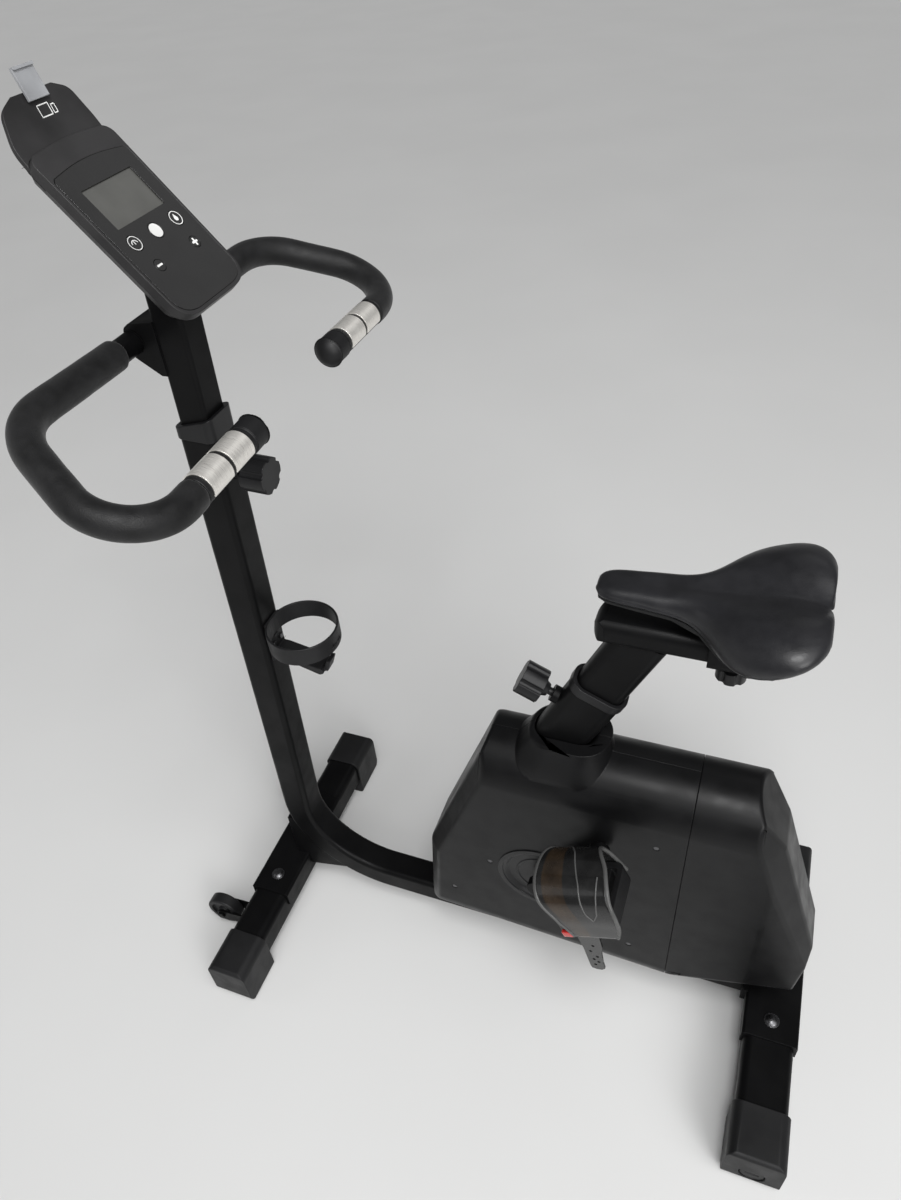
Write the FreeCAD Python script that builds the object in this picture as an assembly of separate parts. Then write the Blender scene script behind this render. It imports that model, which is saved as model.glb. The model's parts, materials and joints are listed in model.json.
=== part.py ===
"""Upright exercise bike with a magnetic brake, built piece by piece.

Millimetres. +Z is up, +X is the way the rider faces, +Y is the rider's left. The layout puts X = 0
over the front stabilizer and Z = 0 on the floor. Every shape is moved by SHIFT_X when it is written,
which puts the origin on the floor under the middle of the bike's bounding box.
"""

import FreeCAD, Part
import math
import os

V = FreeCAD.Vector
X_AXIS = V(1, 0, 0)
Y_AXIS = V(0, 1, 0)
Z_AXIS = V(0, 0, 1)

# ---------------------------------------------------------------- driving dimensions
SHIFT_X = 369.2          # layout X of the bounding box's middle is -SHIFT_X
RUNNING = 0.08           # radial clearance of a turning fit
GAP = 0.4                # gap between pieces that slide past each other

STAB_LOW = 25.0          # stabilizer tubes, above the floor
STAB_TOP = 84.0
FRONT_WALL = 2.5
STAB_RADIUS = 14.0
FRONT_W = 60.0           # front tube, fore and aft
REAR_W = 70.0
CAP_OVER = 4.0           # how far a cap stands proud of its tube, fore and aft
CAP_TOP = 86.0
CAP_LENGTH = 72.0
CAP_FLOOR = 16.0         # thickness of a cap's closed end
FRONT_HALF = 255.0       # half length of the front stabilizer, over its caps
REAR_HALF = 255.0
REAR_X = -816.0

MAST_LEAN = 2.1          # degrees, towards the rider
MAST_SIDE = 46.0
MAST_WALL = 2.0
MAST_TOP = 945.0
MAST_REF = V(-39.7, 0, 232.0)
SPAR_Z = 86.0
SPAR_TOP = 109.1         # upper face of the spar
BEND_R = 147.0
SPAR_END = REAR_X + REAR_W / 2 + 9.0
INNER_SIDE = 38.0
INNER_LOW = 700.0

SEAT_LEAN = 25.0         # degrees, towards the back
SEAT_RIM = V(-526.0, 0, 648.5)
SLEEVE = (68.0, 42.0, 17.0)      # fore and aft, across, corner radius
POST = (61.2, 35.2, 14.0)
SLEEVE_LENGTH = 330.0
POST_IN_SLEEVE = 190.0
RAIL_LOW = 741.0
RAIL_TOP = 775.0
RAIL_W = 46.0
RAIL_FRONT = -517.0
RAIL_BACK = -722.0

CRANK_X = -471.0
CRANK_Z = 293.5
CRANK_LENGTH = 150.0
CRANK_ANGLE = 122.0      # degrees from +X towards +Z, left crank at rest
CRANK_IN = 66.0
CRANK_OUT = 80.0
PEDAL_IN = 97.0
PEDAL_OUT = 184.0
PEDAL_TILT = 25.0        # degrees, toe down
PEDAL_FRONT = 31.0       # reach of the pedal body ahead of its spindle
PEDAL_BACK = -47.0
PULLEY_R = 118.0
BELT_Y = (41.0, 49.0)
BELT_THICK = 2.4

FLY_X = -692.0
FLY_Z = 300.0
FLY_R = 112.0
FLY_Y = (-32.0, -10.0)
SMALL_R = 18.0
HUB_BORE = 13.0

HOUSE_HALF = 60.0
HOUSE_TOP = 537.0
HOUSE_WALL = 3.0
HOUSE_SPLIT = -657.0
SEAM = 0.4               # gap along the joints between the covers
LIP = 6.0                # how far a cover's inner lip reaches under its neighbour
LIP_START = 135.0        # the left cover's lip starts above the frame's front post

BAR_R = 12.7
FOAM_R = 16.3
BAR_MID = V(-22.6, 0, 1048.0)
BAR_BEND = V(-39.2, 218.4, 1061.9)
BAR_CORNER = V(-194.0, 296.1, 999.5)
BAR_TIP = V(-191.5, 88.6, 1002.7)
BAR_BEND_R = 72.0
BAR_CORNER_R = 56.0
FOAM_START = 52.0
SENSOR_Y = (104.0, 190.0)

FACE_TILT = 48.7         # degrees of the console's face from the floor
FACE_POINT = V(-64.7, 0, 1170.5)
FACE_HALF = 58.0
FACE_LOW = -99.0
FACE_HIGH = 90.0

KNOB_R = 22.0
KNOB_LENGTH = 30.0
KNOB_NECK = 28.0

WHEEL_X = 84.0
WHEEL_Y = 132.0
WHEEL_Z = 34.0
WHEEL_R = 30.0
WHEEL_W = 20.0

# ---------------------------------------------------------------- shape helpers


def path_edges(points, radii, closed=False):
    """Straight runs through points, with a tangent arc of the given radius at each corner."""
    count = len(points)
    corners = []
    for i, point in enumerate(points):
        radius = radii[i]
        end = not closed and i in (0, count - 1)
        if end or radius == 0:
            corners.append((point, None, point))
            continue
        before = (points[i - 1] - point).normalize()
        after = (points[(i + 1) % count] - point).normalize()
        half = before.getAngle(after) / 2
        reach = radius / math.tan(half)
        middle = (before + after).normalize()
        top = point + middle * (radius / math.sin(half) - radius)
        corners.append((point + before * reach, top, point + after * reach))
    edges = []
    for i, (start, top, stop) in enumerate(corners):
        if top is not None:
            edges.append(Part.Arc(start, top, stop).toShape())
        if i == count - 1 and not closed:
            break
        following = corners[(i + 1) % count][0]
        if (following - stop).Length > 1e-6:
            edges.append(Part.LineSegment(stop, following).toShape())
    return edges


def outline(points, radii, place):
    """A closed wire through 2-D points, put into space by place(a, b)."""
    if not isinstance(radii, (list, tuple)):
        radii = [radii] * len(points)
    spots = [place(a, b) for a, b in points]
    return Part.Wire(path_edges(spots, radii, closed=True))


def slab(points, radii, low, high, normal="Y"):
    """A prism. Points are (x, z) for normal Y, (y, z) for X and (x, y) for Z."""
    places = {
        "Y": lambda a, b: V(a, low, b),
        "X": lambda a, b: V(low, a, b),
        "Z": lambda a, b: V(a, b, low),
    }
    along = {"X": X_AXIS, "Y": Y_AXIS, "Z": Z_AXIS}[normal]
    face = Part.Face(outline(points, radii, places[normal]))
    return face.extrude(along * (high - low))


def rectangle(half_a, half_b, middle_a=0.0, middle_b=0.0):
    return [
        (middle_a - half_a, middle_b - half_b),
        (middle_a + half_a, middle_b - half_b),
        (middle_a + half_a, middle_b + half_b),
        (middle_a - half_a, middle_b + half_b),
    ]


def block(x0, x1, y0, y1, z0, z1):
    return Part.makeBox(x1 - x0, y1 - y0, z1 - z0, V(x0, y0, z0))


def rod(start, stop, radius):
    return Part.makeCylinder(radius, (stop - start).Length, start, stop - start)


def rod_y(x, z, radius, y0, y1):
    return Part.makeCylinder(radius, y1 - y0, V(x, y0, z), Y_AXIS)


def ring_y(x, z, outer, inner, y0, y1):
    return rod_y(x, z, outer, y0, y1).cut(rod_y(x, z, inner, y0 - 1, y1 + 1))


def mirrored(shape):
    return shape.mirror(V(0, 0, 0), Y_AXIS)


def both_sides(shape):
    return [shape, mirrored(shape)]


def turned(shape, centre, axis, degrees):
    copy = shape.copy()
    copy.rotate(centre, axis, degrees)
    return copy


def framed(origin, across, along, out):
    """A placement that takes local X, Y, Z to the three given directions."""
    matrix = FreeCAD.Matrix(
        across.x, along.x, out.x, origin.x,
        across.y, along.y, out.y, origin.y,
        across.z, along.z, out.z, origin.z,
        0, 0, 0, 1,
    )
    return FreeCAD.Placement(matrix)


def placed(shape, placement):
    copy = shape.copy()
    copy.Placement = placement.multiply(copy.Placement)
    return copy


def local_slab(points, radii, low, high):
    """A prism in local coordinates, from local Z low to high."""
    face = Part.Face(outline(points, radii, lambda a, b: V(a, b, low)))
    return face.extrude(V(0, 0, high - low))


def rounded_bar(size, low, high, grow=0.0):
    """A flat oval bar along local Z. size is (along X, along Y, corner radius)."""
    half_x = size[0] / 2 + grow
    half_y = size[1] / 2 + grow
    return local_slab(rectangle(half_x, half_y), size[2] + grow, low, high)


def pipe(edges, section):
    """A section wire swept along a run of edges, as a solid."""
    return Part.Wire(edges).makePipeShell([section], True, False)


def circle_at(point, direction, radius):
    return Part.Wire(Part.Circle(point, direction, radius).toShape())


def fused(shapes):
    whole = shapes[0]
    for shape in shapes[1:]:
        whole = whole.fuse(shape)
    return whole.removeSplitter()


def group(shapes):
    solids = []
    for shape in shapes:
        solids.extend(shape.Solids)
    return Part.makeCompound(solids)


# ---------------------------------------------------------------- local frames
LEAN = math.radians(MAST_LEAN)
MAST_UP = V(-math.sin(LEAN), 0, math.cos(LEAN))
MAST_BACK = V(-math.cos(LEAN), 0, -math.sin(LEAN))


def mast_point(z):
    """The point of the mast's centre line at height z."""
    return MAST_REF + MAST_UP * ((z - MAST_REF.z) / MAST_UP.z)


def mast_frame(z):
    """Local X to the front, Y to the left, Z up the mast."""
    return framed(mast_point(z), MAST_BACK * -1, Y_AXIS, MAST_UP)


SEAT_ANGLE = math.radians(SEAT_LEAN)
SEAT_UP = V(-math.sin(SEAT_ANGLE), 0, math.cos(SEAT_ANGLE))
SEAT_FRONT = V(math.cos(SEAT_ANGLE), 0, math.sin(SEAT_ANGLE))
SEAT_FRAME = framed(SEAT_RIM, SEAT_FRONT, Y_AXIS, SEAT_UP)

TILT = math.radians(FACE_TILT)
FACE_UP = V(math.cos(TILT), 0, math.sin(TILT))
FACE_OUT = V(-math.sin(TILT), 0, math.cos(TILT))
FACE_FRAME = framed(FACE_POINT, Y_AXIS * -1, FACE_UP, FACE_OUT)

CRANK_REST = math.radians(CRANK_ANGLE)
PEDAL_OFFSET = V(CRANK_LENGTH * math.cos(CRANK_REST), 0, CRANK_LENGTH * math.sin(CRANK_REST))
CRANK_CENTRE = V(CRANK_X, 0, CRANK_Z)
LEFT_PEDAL = CRANK_CENTRE + PEDAL_OFFSET
RIGHT_PEDAL = CRANK_CENTRE - PEDAL_OFFSET

MAST_KNOB_Z = 889.0
MAST_KNOB_BASE = mast_point(MAST_KNOB_Z)
SEAT_KNOB_DOWN = 47.0
SEAT_KNOB_BASE = SEAT_RIM - SEAT_UP * SEAT_KNOB_DOWN


# ---------------------------------------------------------------- welded frame


def spar_path():
    """Centre line of the mast's lower tube, its bend and the spar under the housing."""
    top = mast_point(MAST_TOP)
    corner = mast_point(SPAR_Z)
    back = V(SPAR_END, 0, SPAR_Z)
    return path_edges([top, corner, back], [0, BEND_R, 0])


def spar_solid(side, radius):
    place = mast_frame(MAST_TOP)
    section = outline(
        rectangle(side / 2, side / 2), radius, lambda a, b: place.multVec(V(a, b, 0))
    )
    return pipe(spar_path(), section)


def mast_boss():
    """Threaded boss on the rider's side of the mast, for the height knob."""
    start = MAST_KNOB_BASE + MAST_BACK * (MAST_SIDE / 2 - MAST_WALL)
    stop = MAST_KNOB_BASE + MAST_BACK * (MAST_SIDE / 2 + 8)
    return rod(start, stop, 11.0)


def main_frame():
    inside = spar_solid(MAST_SIDE - 2 * MAST_WALL, 6.0)
    tube = fused([spar_solid(MAST_SIDE, 8.0), mast_boss()]).cut(inside)
    hole = rod(MAST_KNOB_BASE, MAST_KNOB_BASE + MAST_BACK * 60, 5.0 + GAP)
    return tube.cut(hole)


def seat_boss():
    start = SEAT_KNOB_BASE + SEAT_FRONT * (SLEEVE[0] / 2 - 2)
    stop = SEAT_KNOB_BASE + SEAT_FRONT * (SLEEVE[0] / 2 + 8)
    return rod(start, stop, 11.0)


def seat_tube():
    outer = placed(rounded_bar(SLEEVE, -SLEEVE_LENGTH, 0), SEAT_FRAME)
    inner = placed(rounded_bar(SLEEVE, -SLEEVE_LENGTH - 1, 1, grow=-2.0), SEAT_FRAME)
    hole = rod(SEAT_KNOB_BASE, SEAT_KNOB_BASE + SEAT_FRONT * 60, 5.0 + GAP)
    return fused([outer, seat_boss()]).cut(inner).cut(hole)


def frame_post():
    """Bottom bracket shell, with the box strut that carries it and the seat tube."""
    strut = slab(
        [(-505, SPAR_TOP), (-345, SPAR_TOP), (-352, 300), (-378, 372), (-440, 372), (-492, 290)],
        [0, 0, 20, 10, 20, 10], -16, 16,
    )
    sleeve = placed(rounded_bar(SLEEVE, -SLEEVE_LENGTH, 0), SEAT_FRAME)
    shell = rod_y(CRANK_X, CRANK_Z, 21.0, -34, 34)
    whole = fused([strut.cut(sleeve), shell])
    return whole.cut(rod_y(CRANK_X, CRANK_Z, 17.5, -40, 40))


def stabilizer_blank(x, width, half_length):
    """The stabilizer tube's outside, as a solid bar."""
    middle = (STAB_LOW + STAB_TOP) / 2
    half = (STAB_TOP - STAB_LOW) / 2
    return slab(rectangle(width / 2, half, x, middle), STAB_RADIUS, -half_length, half_length)


def stabilizer(x, width, half_length):
    middle = (STAB_LOW + STAB_TOP) / 2
    half = (STAB_TOP - STAB_LOW) / 2 - FRONT_WALL
    inside = slab(
        rectangle(width / 2 - FRONT_WALL, half, x, middle),
        STAB_RADIUS - FRONT_WALL, -half_length, half_length,
    )
    return stabilizer_blank(x, width, half_length - CAP_FLOOR).cut(inside)


def saddle_clamp(x, width, half_length):
    """Folded steel saddle over a stabilizer tube."""
    sheet = 4.0
    drop = 26.0
    half = (drop + sheet) / 2
    outer = slab(rectangle(width / 2 + sheet, half, x, STAB_TOP + sheet - half),
                 [0, 0, 5, 5], -half_length, half_length)
    return outer.cut(stabilizer_blank(x, width, half_length + 5))


def front_gusset():
    """Box that fills the corner between the bend and the front saddle."""
    front = MAST_REF.x + MAST_SIDE / 2 + 3.7
    seat = STAB_TOP + 4.0
    edge = -FRONT_W / 2 - 4.5
    web = slab([(front, seat), (front, 190), (-110, 190), (-110, 84), (edge, 62), (edge, seat)],
               0, -20, 20)
    return largest(web.cut(spar_solid(MAST_SIDE, 8.0)))


def stabilizer_cradles():
    """Front saddle with its gusset, and rear saddle with the plates welded to the spar's end."""
    front = fused([saddle_clamp(0, FRONT_W, 104), front_gusset()])
    spar = spar_solid(MAST_SIDE, 8.0)
    low = 60.0
    seat = STAB_TOP + 4.0
    tongue = block(REAR_X + REAR_W / 2 + 2, SPAR_END, -30, 30, low, seat)
    end_plate = block(SPAR_END + 0.02, SPAR_END + 2.02, -30, 30, low, 94).cut(spar)
    rear = fused([saddle_clamp(REAR_X, REAR_W, 92), tongue.cut(spar), end_plate])
    return [front, rear]


def largest(shape):
    return max(shape.Solids, key=lambda solid: solid.Volume)


def end_cap(x, width, half_length):
    """Moulded foot that slips over the end of a stabilizer tube. The left one."""
    start = half_length - CAP_LENGTH
    half = width / 2 + CAP_OVER
    section = slab(rectangle(half, CAP_TOP / 2, x, CAP_TOP / 2), [8, 8, 15, 15],
                   start, half_length)
    side = slab(
        [(start, 0), (half_length, 0), (half_length, CAP_TOP), (start, CAP_TOP)],
        [0, 20, 7, 0], x - 2 * half, x + 2 * half, "X",
    )
    return section.common(side).cut(stabilizer_blank(x, width, half_length - CAP_FLOOR))


LEVEL_Z = 34.0           # height of the adjusting wheels' axes
LEVEL_R = 16.6
LEVEL_DEEP = 13.0        # how far a wheel is let into its cap


def leveller_pocket():
    """Place of the adjusting wheel in a rear cap's end face."""
    deep = REAR_HALF - LEVEL_DEEP - 1.0
    return rod_y(REAR_X, LEVEL_Z, LEVEL_R + 0.9, deep, REAR_HALF + 5)


def leveller_pin(grow=0.0):
    return rod_y(REAR_X, LEVEL_Z, 4.0 + grow, REAR_HALF - 30, REAR_HALF - 10)


def leveller():
    """Ribbed adjusting wheel in the rear cap. The left one."""
    inner = REAR_HALF - LEVEL_DEEP
    outer = REAR_HALF - 1.5
    disc = rod_y(REAR_X, LEVEL_Z, LEVEL_R, inner, outer)
    notches = []
    for step in range(12):
        angle = math.radians(step * 30)
        x = REAR_X + (LEVEL_R + 1) * math.cos(angle)
        z = LEVEL_Z + (LEVEL_R + 1) * math.sin(angle)
        notches.append(rod_y(x, z, 1.9, inner - 1, outer + 1))
    body = disc.cut(Part.makeCompound(notches))
    slot = block(REAR_X - 9, REAR_X + 9, outer - 2.5, outer + 1, LEVEL_Z - 2, LEVEL_Z + 2)
    return fused([body, leveller_pin().cut(disc)]).cut(slot)


def end_caps():
    front = end_cap(0, FRONT_W, FRONT_HALF)
    rear = end_cap(REAR_X, REAR_W, REAR_HALF).cut(leveller_pocket()).cut(leveller_pin(RUNNING))
    return both_sides(front) + both_sides(rear)


# ---------------------------------------------------------------- fasteners


def hex_head(base, direction, across, height):
    """A hexagon head that stands on base and points along direction."""
    side = direction.cross(Y_AXIS)
    if side.Length < 1e-6:
        side = X_AXIS
    side.normalize()
    other = direction.cross(side)
    corners = []
    for step in range(6):
        angle = math.radians(60 * step)
        reach = across / math.sqrt(3)
        corners.append(base + side * (reach * math.cos(angle)) + other * (reach * math.sin(angle)))
    face = Part.Face(Part.makePolygon(corners + corners[:1]))
    return face.extrude(direction * height)


def carriage_bolt(x, y):
    """Domed bolt with its washer, through a saddle clamp."""
    base = STAB_TOP + 4.0
    thick = 1.5
    washer = Part.makeCylinder(11.0, thick, V(x, y, base), Z_AXIS)
    ball = Part.makeSphere(14.0, V(x, y, base + thick - 10.0))
    head = Part.makeCylinder(9.0, 8.0, V(x, y, base + thick), Z_AXIS)
    return fused([washer, ball.common(head)])


def stabilizer_bolts():
    bolts = []
    for x, y in ((0, 72.0), (REAR_X, 63.0)):
        bolts.extend(both_sides(carriage_bolt(x, y)))
    return bolts


def screw_y(x, z, y, radius):
    """Pan head screw set in the left side wall."""
    return Part.makeCylinder(radius, 2.0, V(x, y, z), Y_AXIS)


def cover_screws():
    """Side screws of the housing and the two that hold the bottle cage."""
    screws = []
    for x, z in HOUSE_SCREWS:
        screws.extend(both_sides(screw_y(x, z, HOUSE_HALF - 2.6, 3.6)))
    for y in (-CAGE_SCREW_Y, CAGE_SCREW_Y):
        base = mast_point(CAGE_SCREW_Z) + MAST_BACK * (MAST_SIDE / 2 + CAGE_PLATE) + Y_AXIS * y
        screws.append(rod(base, base + MAST_BACK * 2.5, 4.0))
    return screws


# ---------------------------------------------------------------- housing
HOUSE_SIDE = [
    (-281, 60), (-281, 150), (-291, 286), (-361, 468), (-390, 545),
    (-723, 545), (-771, 466), (-839, 258), (-828, 140), (-796, 92), (-757, 60),
]
HOUSE_FACETS = [         # three points of each flat cut across a corner, left side
    [(-771, 30, 466), (-750, 60, 456), (-738, 52, 504)],
    [(-771, 30, 466), (-750, 60, 456), (-820, 60, 242)],
    [(-765, 60, 387), (-767, 60, 162), (-822, 50, 224)],
    [(-767, 60, 165), (-820, 50, 165), (-780, 22, 95)],
    [(-310, 60, 286), (-291, 38, 286), (-361, 38, 468)],
    [(-300, 60, 150), (-281, 38, 150), (-291, 38, 286)],
]
HOUSE_BOTTOM_FRONT = (-281.0, 111.0)
HOUSE_BOTTOM_BACK = (-761.0, 83.0)
HOUSE_BOTTOM_R = 50.0
HOUSE_SCREWS = [(-392.0, 300.0), (-330.0, 200.0), (-600.0, 180.0), (-620.0, 440.0)]
DISH_R = 63.0


def grown(points, inset):
    """A convex outline, listed anticlockwise, moved inwards by inset."""
    count = len(points)
    lines = []
    for i in range(count):
        ax, az = points[i]
        bx, bz = points[(i + 1) % count]
        length = math.hypot(bx - ax, bz - az)
        nx = -(bz - az) / length
        nz = (bx - ax) / length
        lines.append((ax + nx * inset, az + nz * inset, (bx - ax) / length, (bz - az) / length))
    moved = []
    for i in range(count):
        px, pz, dx, dz = lines[i - 1]
        qx, qz, ex, ez = lines[i]
        across = dx * ez - dz * ex
        along = ((qx - px) * ez - (qz - pz) * ex) / across
        moved.append((px + dx * along, pz + dz * along))
    return moved


def half_space(point, normal):
    """A big block on the side of a plane that normal points to."""
    normal = normal.normalize()
    side = normal.cross(V(0.3, 0.5, 0.8)).normalize()
    place = framed(point, side, normal.cross(side), normal)
    return placed(Part.makeBox(1600, 1600, 800, V(-800, -800, 0)), place)


def facet(a, b, c, inset):
    """The cutting block outside the plane through three points, moved inwards by inset."""
    normal = (b - a).cross(c - a).normalize()
    middle = V(-560, 0, 300)
    if normal.dot(middle - a) > 0:
        normal = normal * -1
    return half_space(a - normal * inset, normal)


def housing_form(inset):
    """The outside of the housing, or its inside with inset as the wall."""
    half = HOUSE_HALF - inset
    side = slab(grown(HOUSE_SIDE, inset), 0, -half, half)
    top = HOUSE_TOP - inset
    arch = slab(
        [(-half, 0), (half, 0), (half, top), (-half, top)],
        [0, 0, half - 0.01, half - 0.01], -900, -200, "X",
    )
    form = side.common(arch)
    fall = (HOUSE_BOTTOM_BACK[1] - HOUSE_BOTTOM_FRONT[1])
    run = HOUSE_BOTTOM_FRONT[0] - HOUSE_BOTTOM_BACK[0]
    slope = math.degrees(math.atan2(fall, run))
    low = HOUSE_BOTTOM_FRONT[1] + inset
    keel = slab(
        [(-half, low), (half, low), (half, 900), (-half, 900)],
        [HOUSE_BOTTOM_R - inset, HOUSE_BOTTOM_R - inset, 0, 0], -900, -100, "X",
    )
    keel.rotate(V(HOUSE_BOTTOM_FRONT[0], 0, low), Y_AXIS, slope)
    form = form.common(keel)
    for corners in HOUSE_FACETS:
        for sign in (1, -1):
            a, b, c = [V(x, sign * y, z) for x, y, z in corners]
            form = form.cut(facet(a, b, c, inset))
    return form


def boss_loft():
    """The smooth collar that the housing raises round the seat tube."""
    sections = []
    for height, half_x, half_y, middle in (
        (500, 74, 52, -482), (528, 66, 49, -484), (543, 58, 45, -487),
        (556, 53.5, 42, -491), (563, 52, 41, -493),
    ):
        corner = min(half_x, half_y) - 3
        points = rectangle(half_x, half_y, middle, 0)
        sections.append(outline(points, corner, lambda a, b, z=height: V(a, b, z)))
    return Part.makeLoft(sections, True, False)


def housing_blank():
    """Both walls of the whole housing in one hollow solid, before it is split."""
    outside = housing_form(0.0)
    inside = housing_form(HOUSE_WALL)
    outside = outside.fuse(boss_loft())
    hollow = outside.cut(inside)
    well = placed(rounded_bar(SLEEVE, -260, 60, grow=1.5), SEAT_FRAME)
    hollow = hollow.cut(well)
    hollow = hollow.cut(spar_room())
    for sign in (1, -1):
        y0 = 40 if sign > 0 else -80
        hollow = hollow.cut(rod_y(CRANK_X, CRANK_Z, DISH_R, y0, y0 + 40))
        for x, z in HOUSE_SCREWS:
            y0 = HOUSE_HALF - 2.6 if sign > 0 else -HOUSE_HALF - 4
            hollow = hollow.cut(rod_y(x, z, 3.8, y0, y0 + 6.6))
    return hollow


def spar_room():
    """Way through the housing's underside for the spar and the rear saddle."""
    half = MAST_SIDE / 2 + 1.5
    spar = block(-900, -200, -half, half, 40, SPAR_Z + half)
    saddle = block(REAR_X - 40, REAR_X + 42, -110, 110, 0, 96)
    return spar.fuse(saddle)


def inner_ring():
    """A thin shell that lines the covers, from which the lips are cut."""
    return housing_form(HOUSE_WALL).cut(housing_form(HOUSE_WALL + 1.5)).cut(spar_room())


def housing_parts():
    blank = housing_blank()
    ring = inner_ring()
    middle = HOUSE_SPLIT
    front = block(middle + SEAM / 2, 0, -200, 200, 0, 700)
    back = block(-1000, middle - SEAM / 2, -200, 200, 0, 700)
    left = block(-1000, 0, SEAM / 2, 200, 0, 700)
    right = block(-1000, 0, -200, -SEAM / 2, 0, 700)
    back_lip = ring.common(block(middle - LIP, middle + LIP, -200, 200, 0, 700))
    left_lip = ring.common(block(middle + LIP + 1, 0, -LIP, LIP, LIP_START, 700))
    well = placed(rounded_bar(SLEEVE, -260, 60, grow=1.5), SEAT_FRAME)
    return {
        "housing_left": largest(fused([blank.common(front).common(left), left_lip.cut(well)])),
        "housing_right": largest(blank.common(front).common(right)),
        "rear_cover": largest(fused([blank.common(back), back_lip])),
    }


def crank_cover():
    """Dished trim round the crank axle, set into the left side wall."""
    depth = 7.0
    floor = HOUSE_HALF - depth
    rim = ring_y(CRANK_X, CRANK_Z, DISH_R + 3.5, DISH_R - 3.5, HOUSE_HALF, HOUSE_HALF + 1.6)
    cone = Part.makeCone(DISH_R - 8, DISH_R - 0.5, depth, V(CRANK_X, floor, CRANK_Z), Y_AXIS)
    hollow = Part.makeCone(DISH_R - 11, DISH_R - 3.5, depth, V(CRANK_X, floor + 2.4, CRANK_Z),
                           Y_AXIS)
    step = ring_y(CRANK_X, CRANK_Z, 40.0, 37.5, floor + 1, floor + 3.6)
    bore = rod_y(CRANK_X, CRANK_Z, 10.0, HOUSE_HALF - 20, HOUSE_HALF + 20)
    return fused([cone.cut(hollow), rim, step]).cut(bore)


# ---------------------------------------------------------------- drive


def bearings():
    """Ball bearings of the crank and the flywheel."""
    parts = []
    for y in (-33, 21):
        parts.append(ring_y(CRANK_X, CRANK_Z, 17.5, 8.5 + RUNNING, y, y + 12))
    for y in (FLY_Y[0] + 2, 38):
        parts.append(ring_y(FLY_X, FLY_Z, HUB_BORE, 6.0, y, y + 8))
    return parts


def crank_axle():
    return rod_y(CRANK_X, CRANK_Z, 8.5, -CRANK_OUT + 2, CRANK_OUT - 2)


def drive_pulley():
    """Poly-V pulley, with lightening holes in its web."""
    rim = ring_y(CRANK_X, CRANK_Z, PULLEY_R, PULLEY_R - 9, 39.0, 51.0)
    web = rod_y(CRANK_X, CRANK_Z, PULLEY_R - 5, 43.0, 47.0)
    hub = rod_y(CRANK_X, CRANK_Z, 17.0, 37.0, 53.0)
    holes = []
    for step in range(6):
        angle = math.radians(60 * step)
        x = CRANK_X + 66 * math.cos(angle)
        z = CRANK_Z + 66 * math.sin(angle)
        holes.append(rod_y(x, z, 24.0, 40, 50))
    bore = rod_y(CRANK_X, CRANK_Z, 8.5, 30, 60)
    return fused([web.cut(Part.makeCompound(holes)), rim, hub]).cut(bore)


def crank_arm(pedal, y0, y1):
    """A cranked arm that tapers from its axle end to its pedal end."""
    way = (pedal - CRANK_CENTRE).normalize()
    side = way.cross(Y_AXIS)
    length = CRANK_LENGTH
    place = framed(V(CRANK_X, y0, CRANK_Z), side, way, Y_AXIS)
    if side.cross(way).y < 0:
        place = framed(V(CRANK_X, y0, CRANK_Z), side * -1, way, Y_AXIS)
    plate = local_slab([(-16, 0), (16, 0), (12.5, length), (-12.5, length)], 0, 0, y1 - y0)
    plate = placed(plate, place)
    ends = [rod_y(CRANK_X, CRANK_Z, 18.0, y0, y1), rod_y(pedal.x, pedal.z, 13.5, y0, y1)]
    whole = fused([plate] + ends)
    return whole.cut(rod_y(CRANK_X, CRANK_Z, 8.5, -100, 100))


def spindle(pedal, y0, y1):
    """Pedal spindle, screwed into the crank arm."""
    return rod_y(pedal.x, pedal.z, 6.5, min(y0, y1), max(y0, y1))


def crank_left():
    arm = crank_arm(LEFT_PEDAL, CRANK_IN, CRANK_OUT).cut(spindle(LEFT_PEDAL, CRANK_IN, 176))
    return [arm, spindle(LEFT_PEDAL, CRANK_IN + 1, 176)]


def crank_right():
    arm = crank_arm(RIGHT_PEDAL, -CRANK_OUT, -CRANK_IN).cut(spindle(RIGHT_PEDAL, -176, -CRANK_IN))
    return [arm, spindle(RIGHT_PEDAL, -176, -CRANK_IN - 1)]


def pedal_blank():
    """Left pedal body, centred on its spindle and level: cage, ribs, treads and hub."""
    middle = (PEDAL_IN + PEDAL_OUT) / 2
    half = (PEDAL_OUT - PEDAL_IN) / 2
    centre = (PEDAL_FRONT + PEDAL_BACK) / 2
    reach = (PEDAL_FRONT - PEDAL_BACK) / 2
    shell = slab(rectangle(reach, half, centre, middle), 12, -13, 13, "Z")
    window = slab(rectangle(reach - 8, half - 9, centre, middle), 6, -20, 20, "Z")
    hub = rod_y(0, 0, 12.5, PEDAL_IN, PEDAL_OUT)
    ribs = [shell.cut(window), hub]
    for x in (-27, 19):
        ribs.append(block(x - 3, x + 3, PEDAL_IN + 4, PEDAL_OUT - 4, -10, 10))
    bore = rod_y(0, 0, 6.5 + RUNNING, PEDAL_IN - 1, 178)
    return fused(ribs).cut(bore)


STRAP_THICK = 3.0
STRAP_CROWN = 61.0       # height of the strap's middle line over the spindle
STRAP_SIDE = [           # the band's side outline: level x, then height
    (-46, -12), (20, -12), (24, 16), (36, 46), (34, 68), (-14, 68), (-40, 45), (-52, 13),
]
STRAP_TAIL = [(-26, -8), (4, -8), (7, -36), (16, -80), (-2, -84), (-18, -36)]
TAIL_HOLES = [(-4, -54), (3, -60), (-1, -66), (6, -72)]


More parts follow.
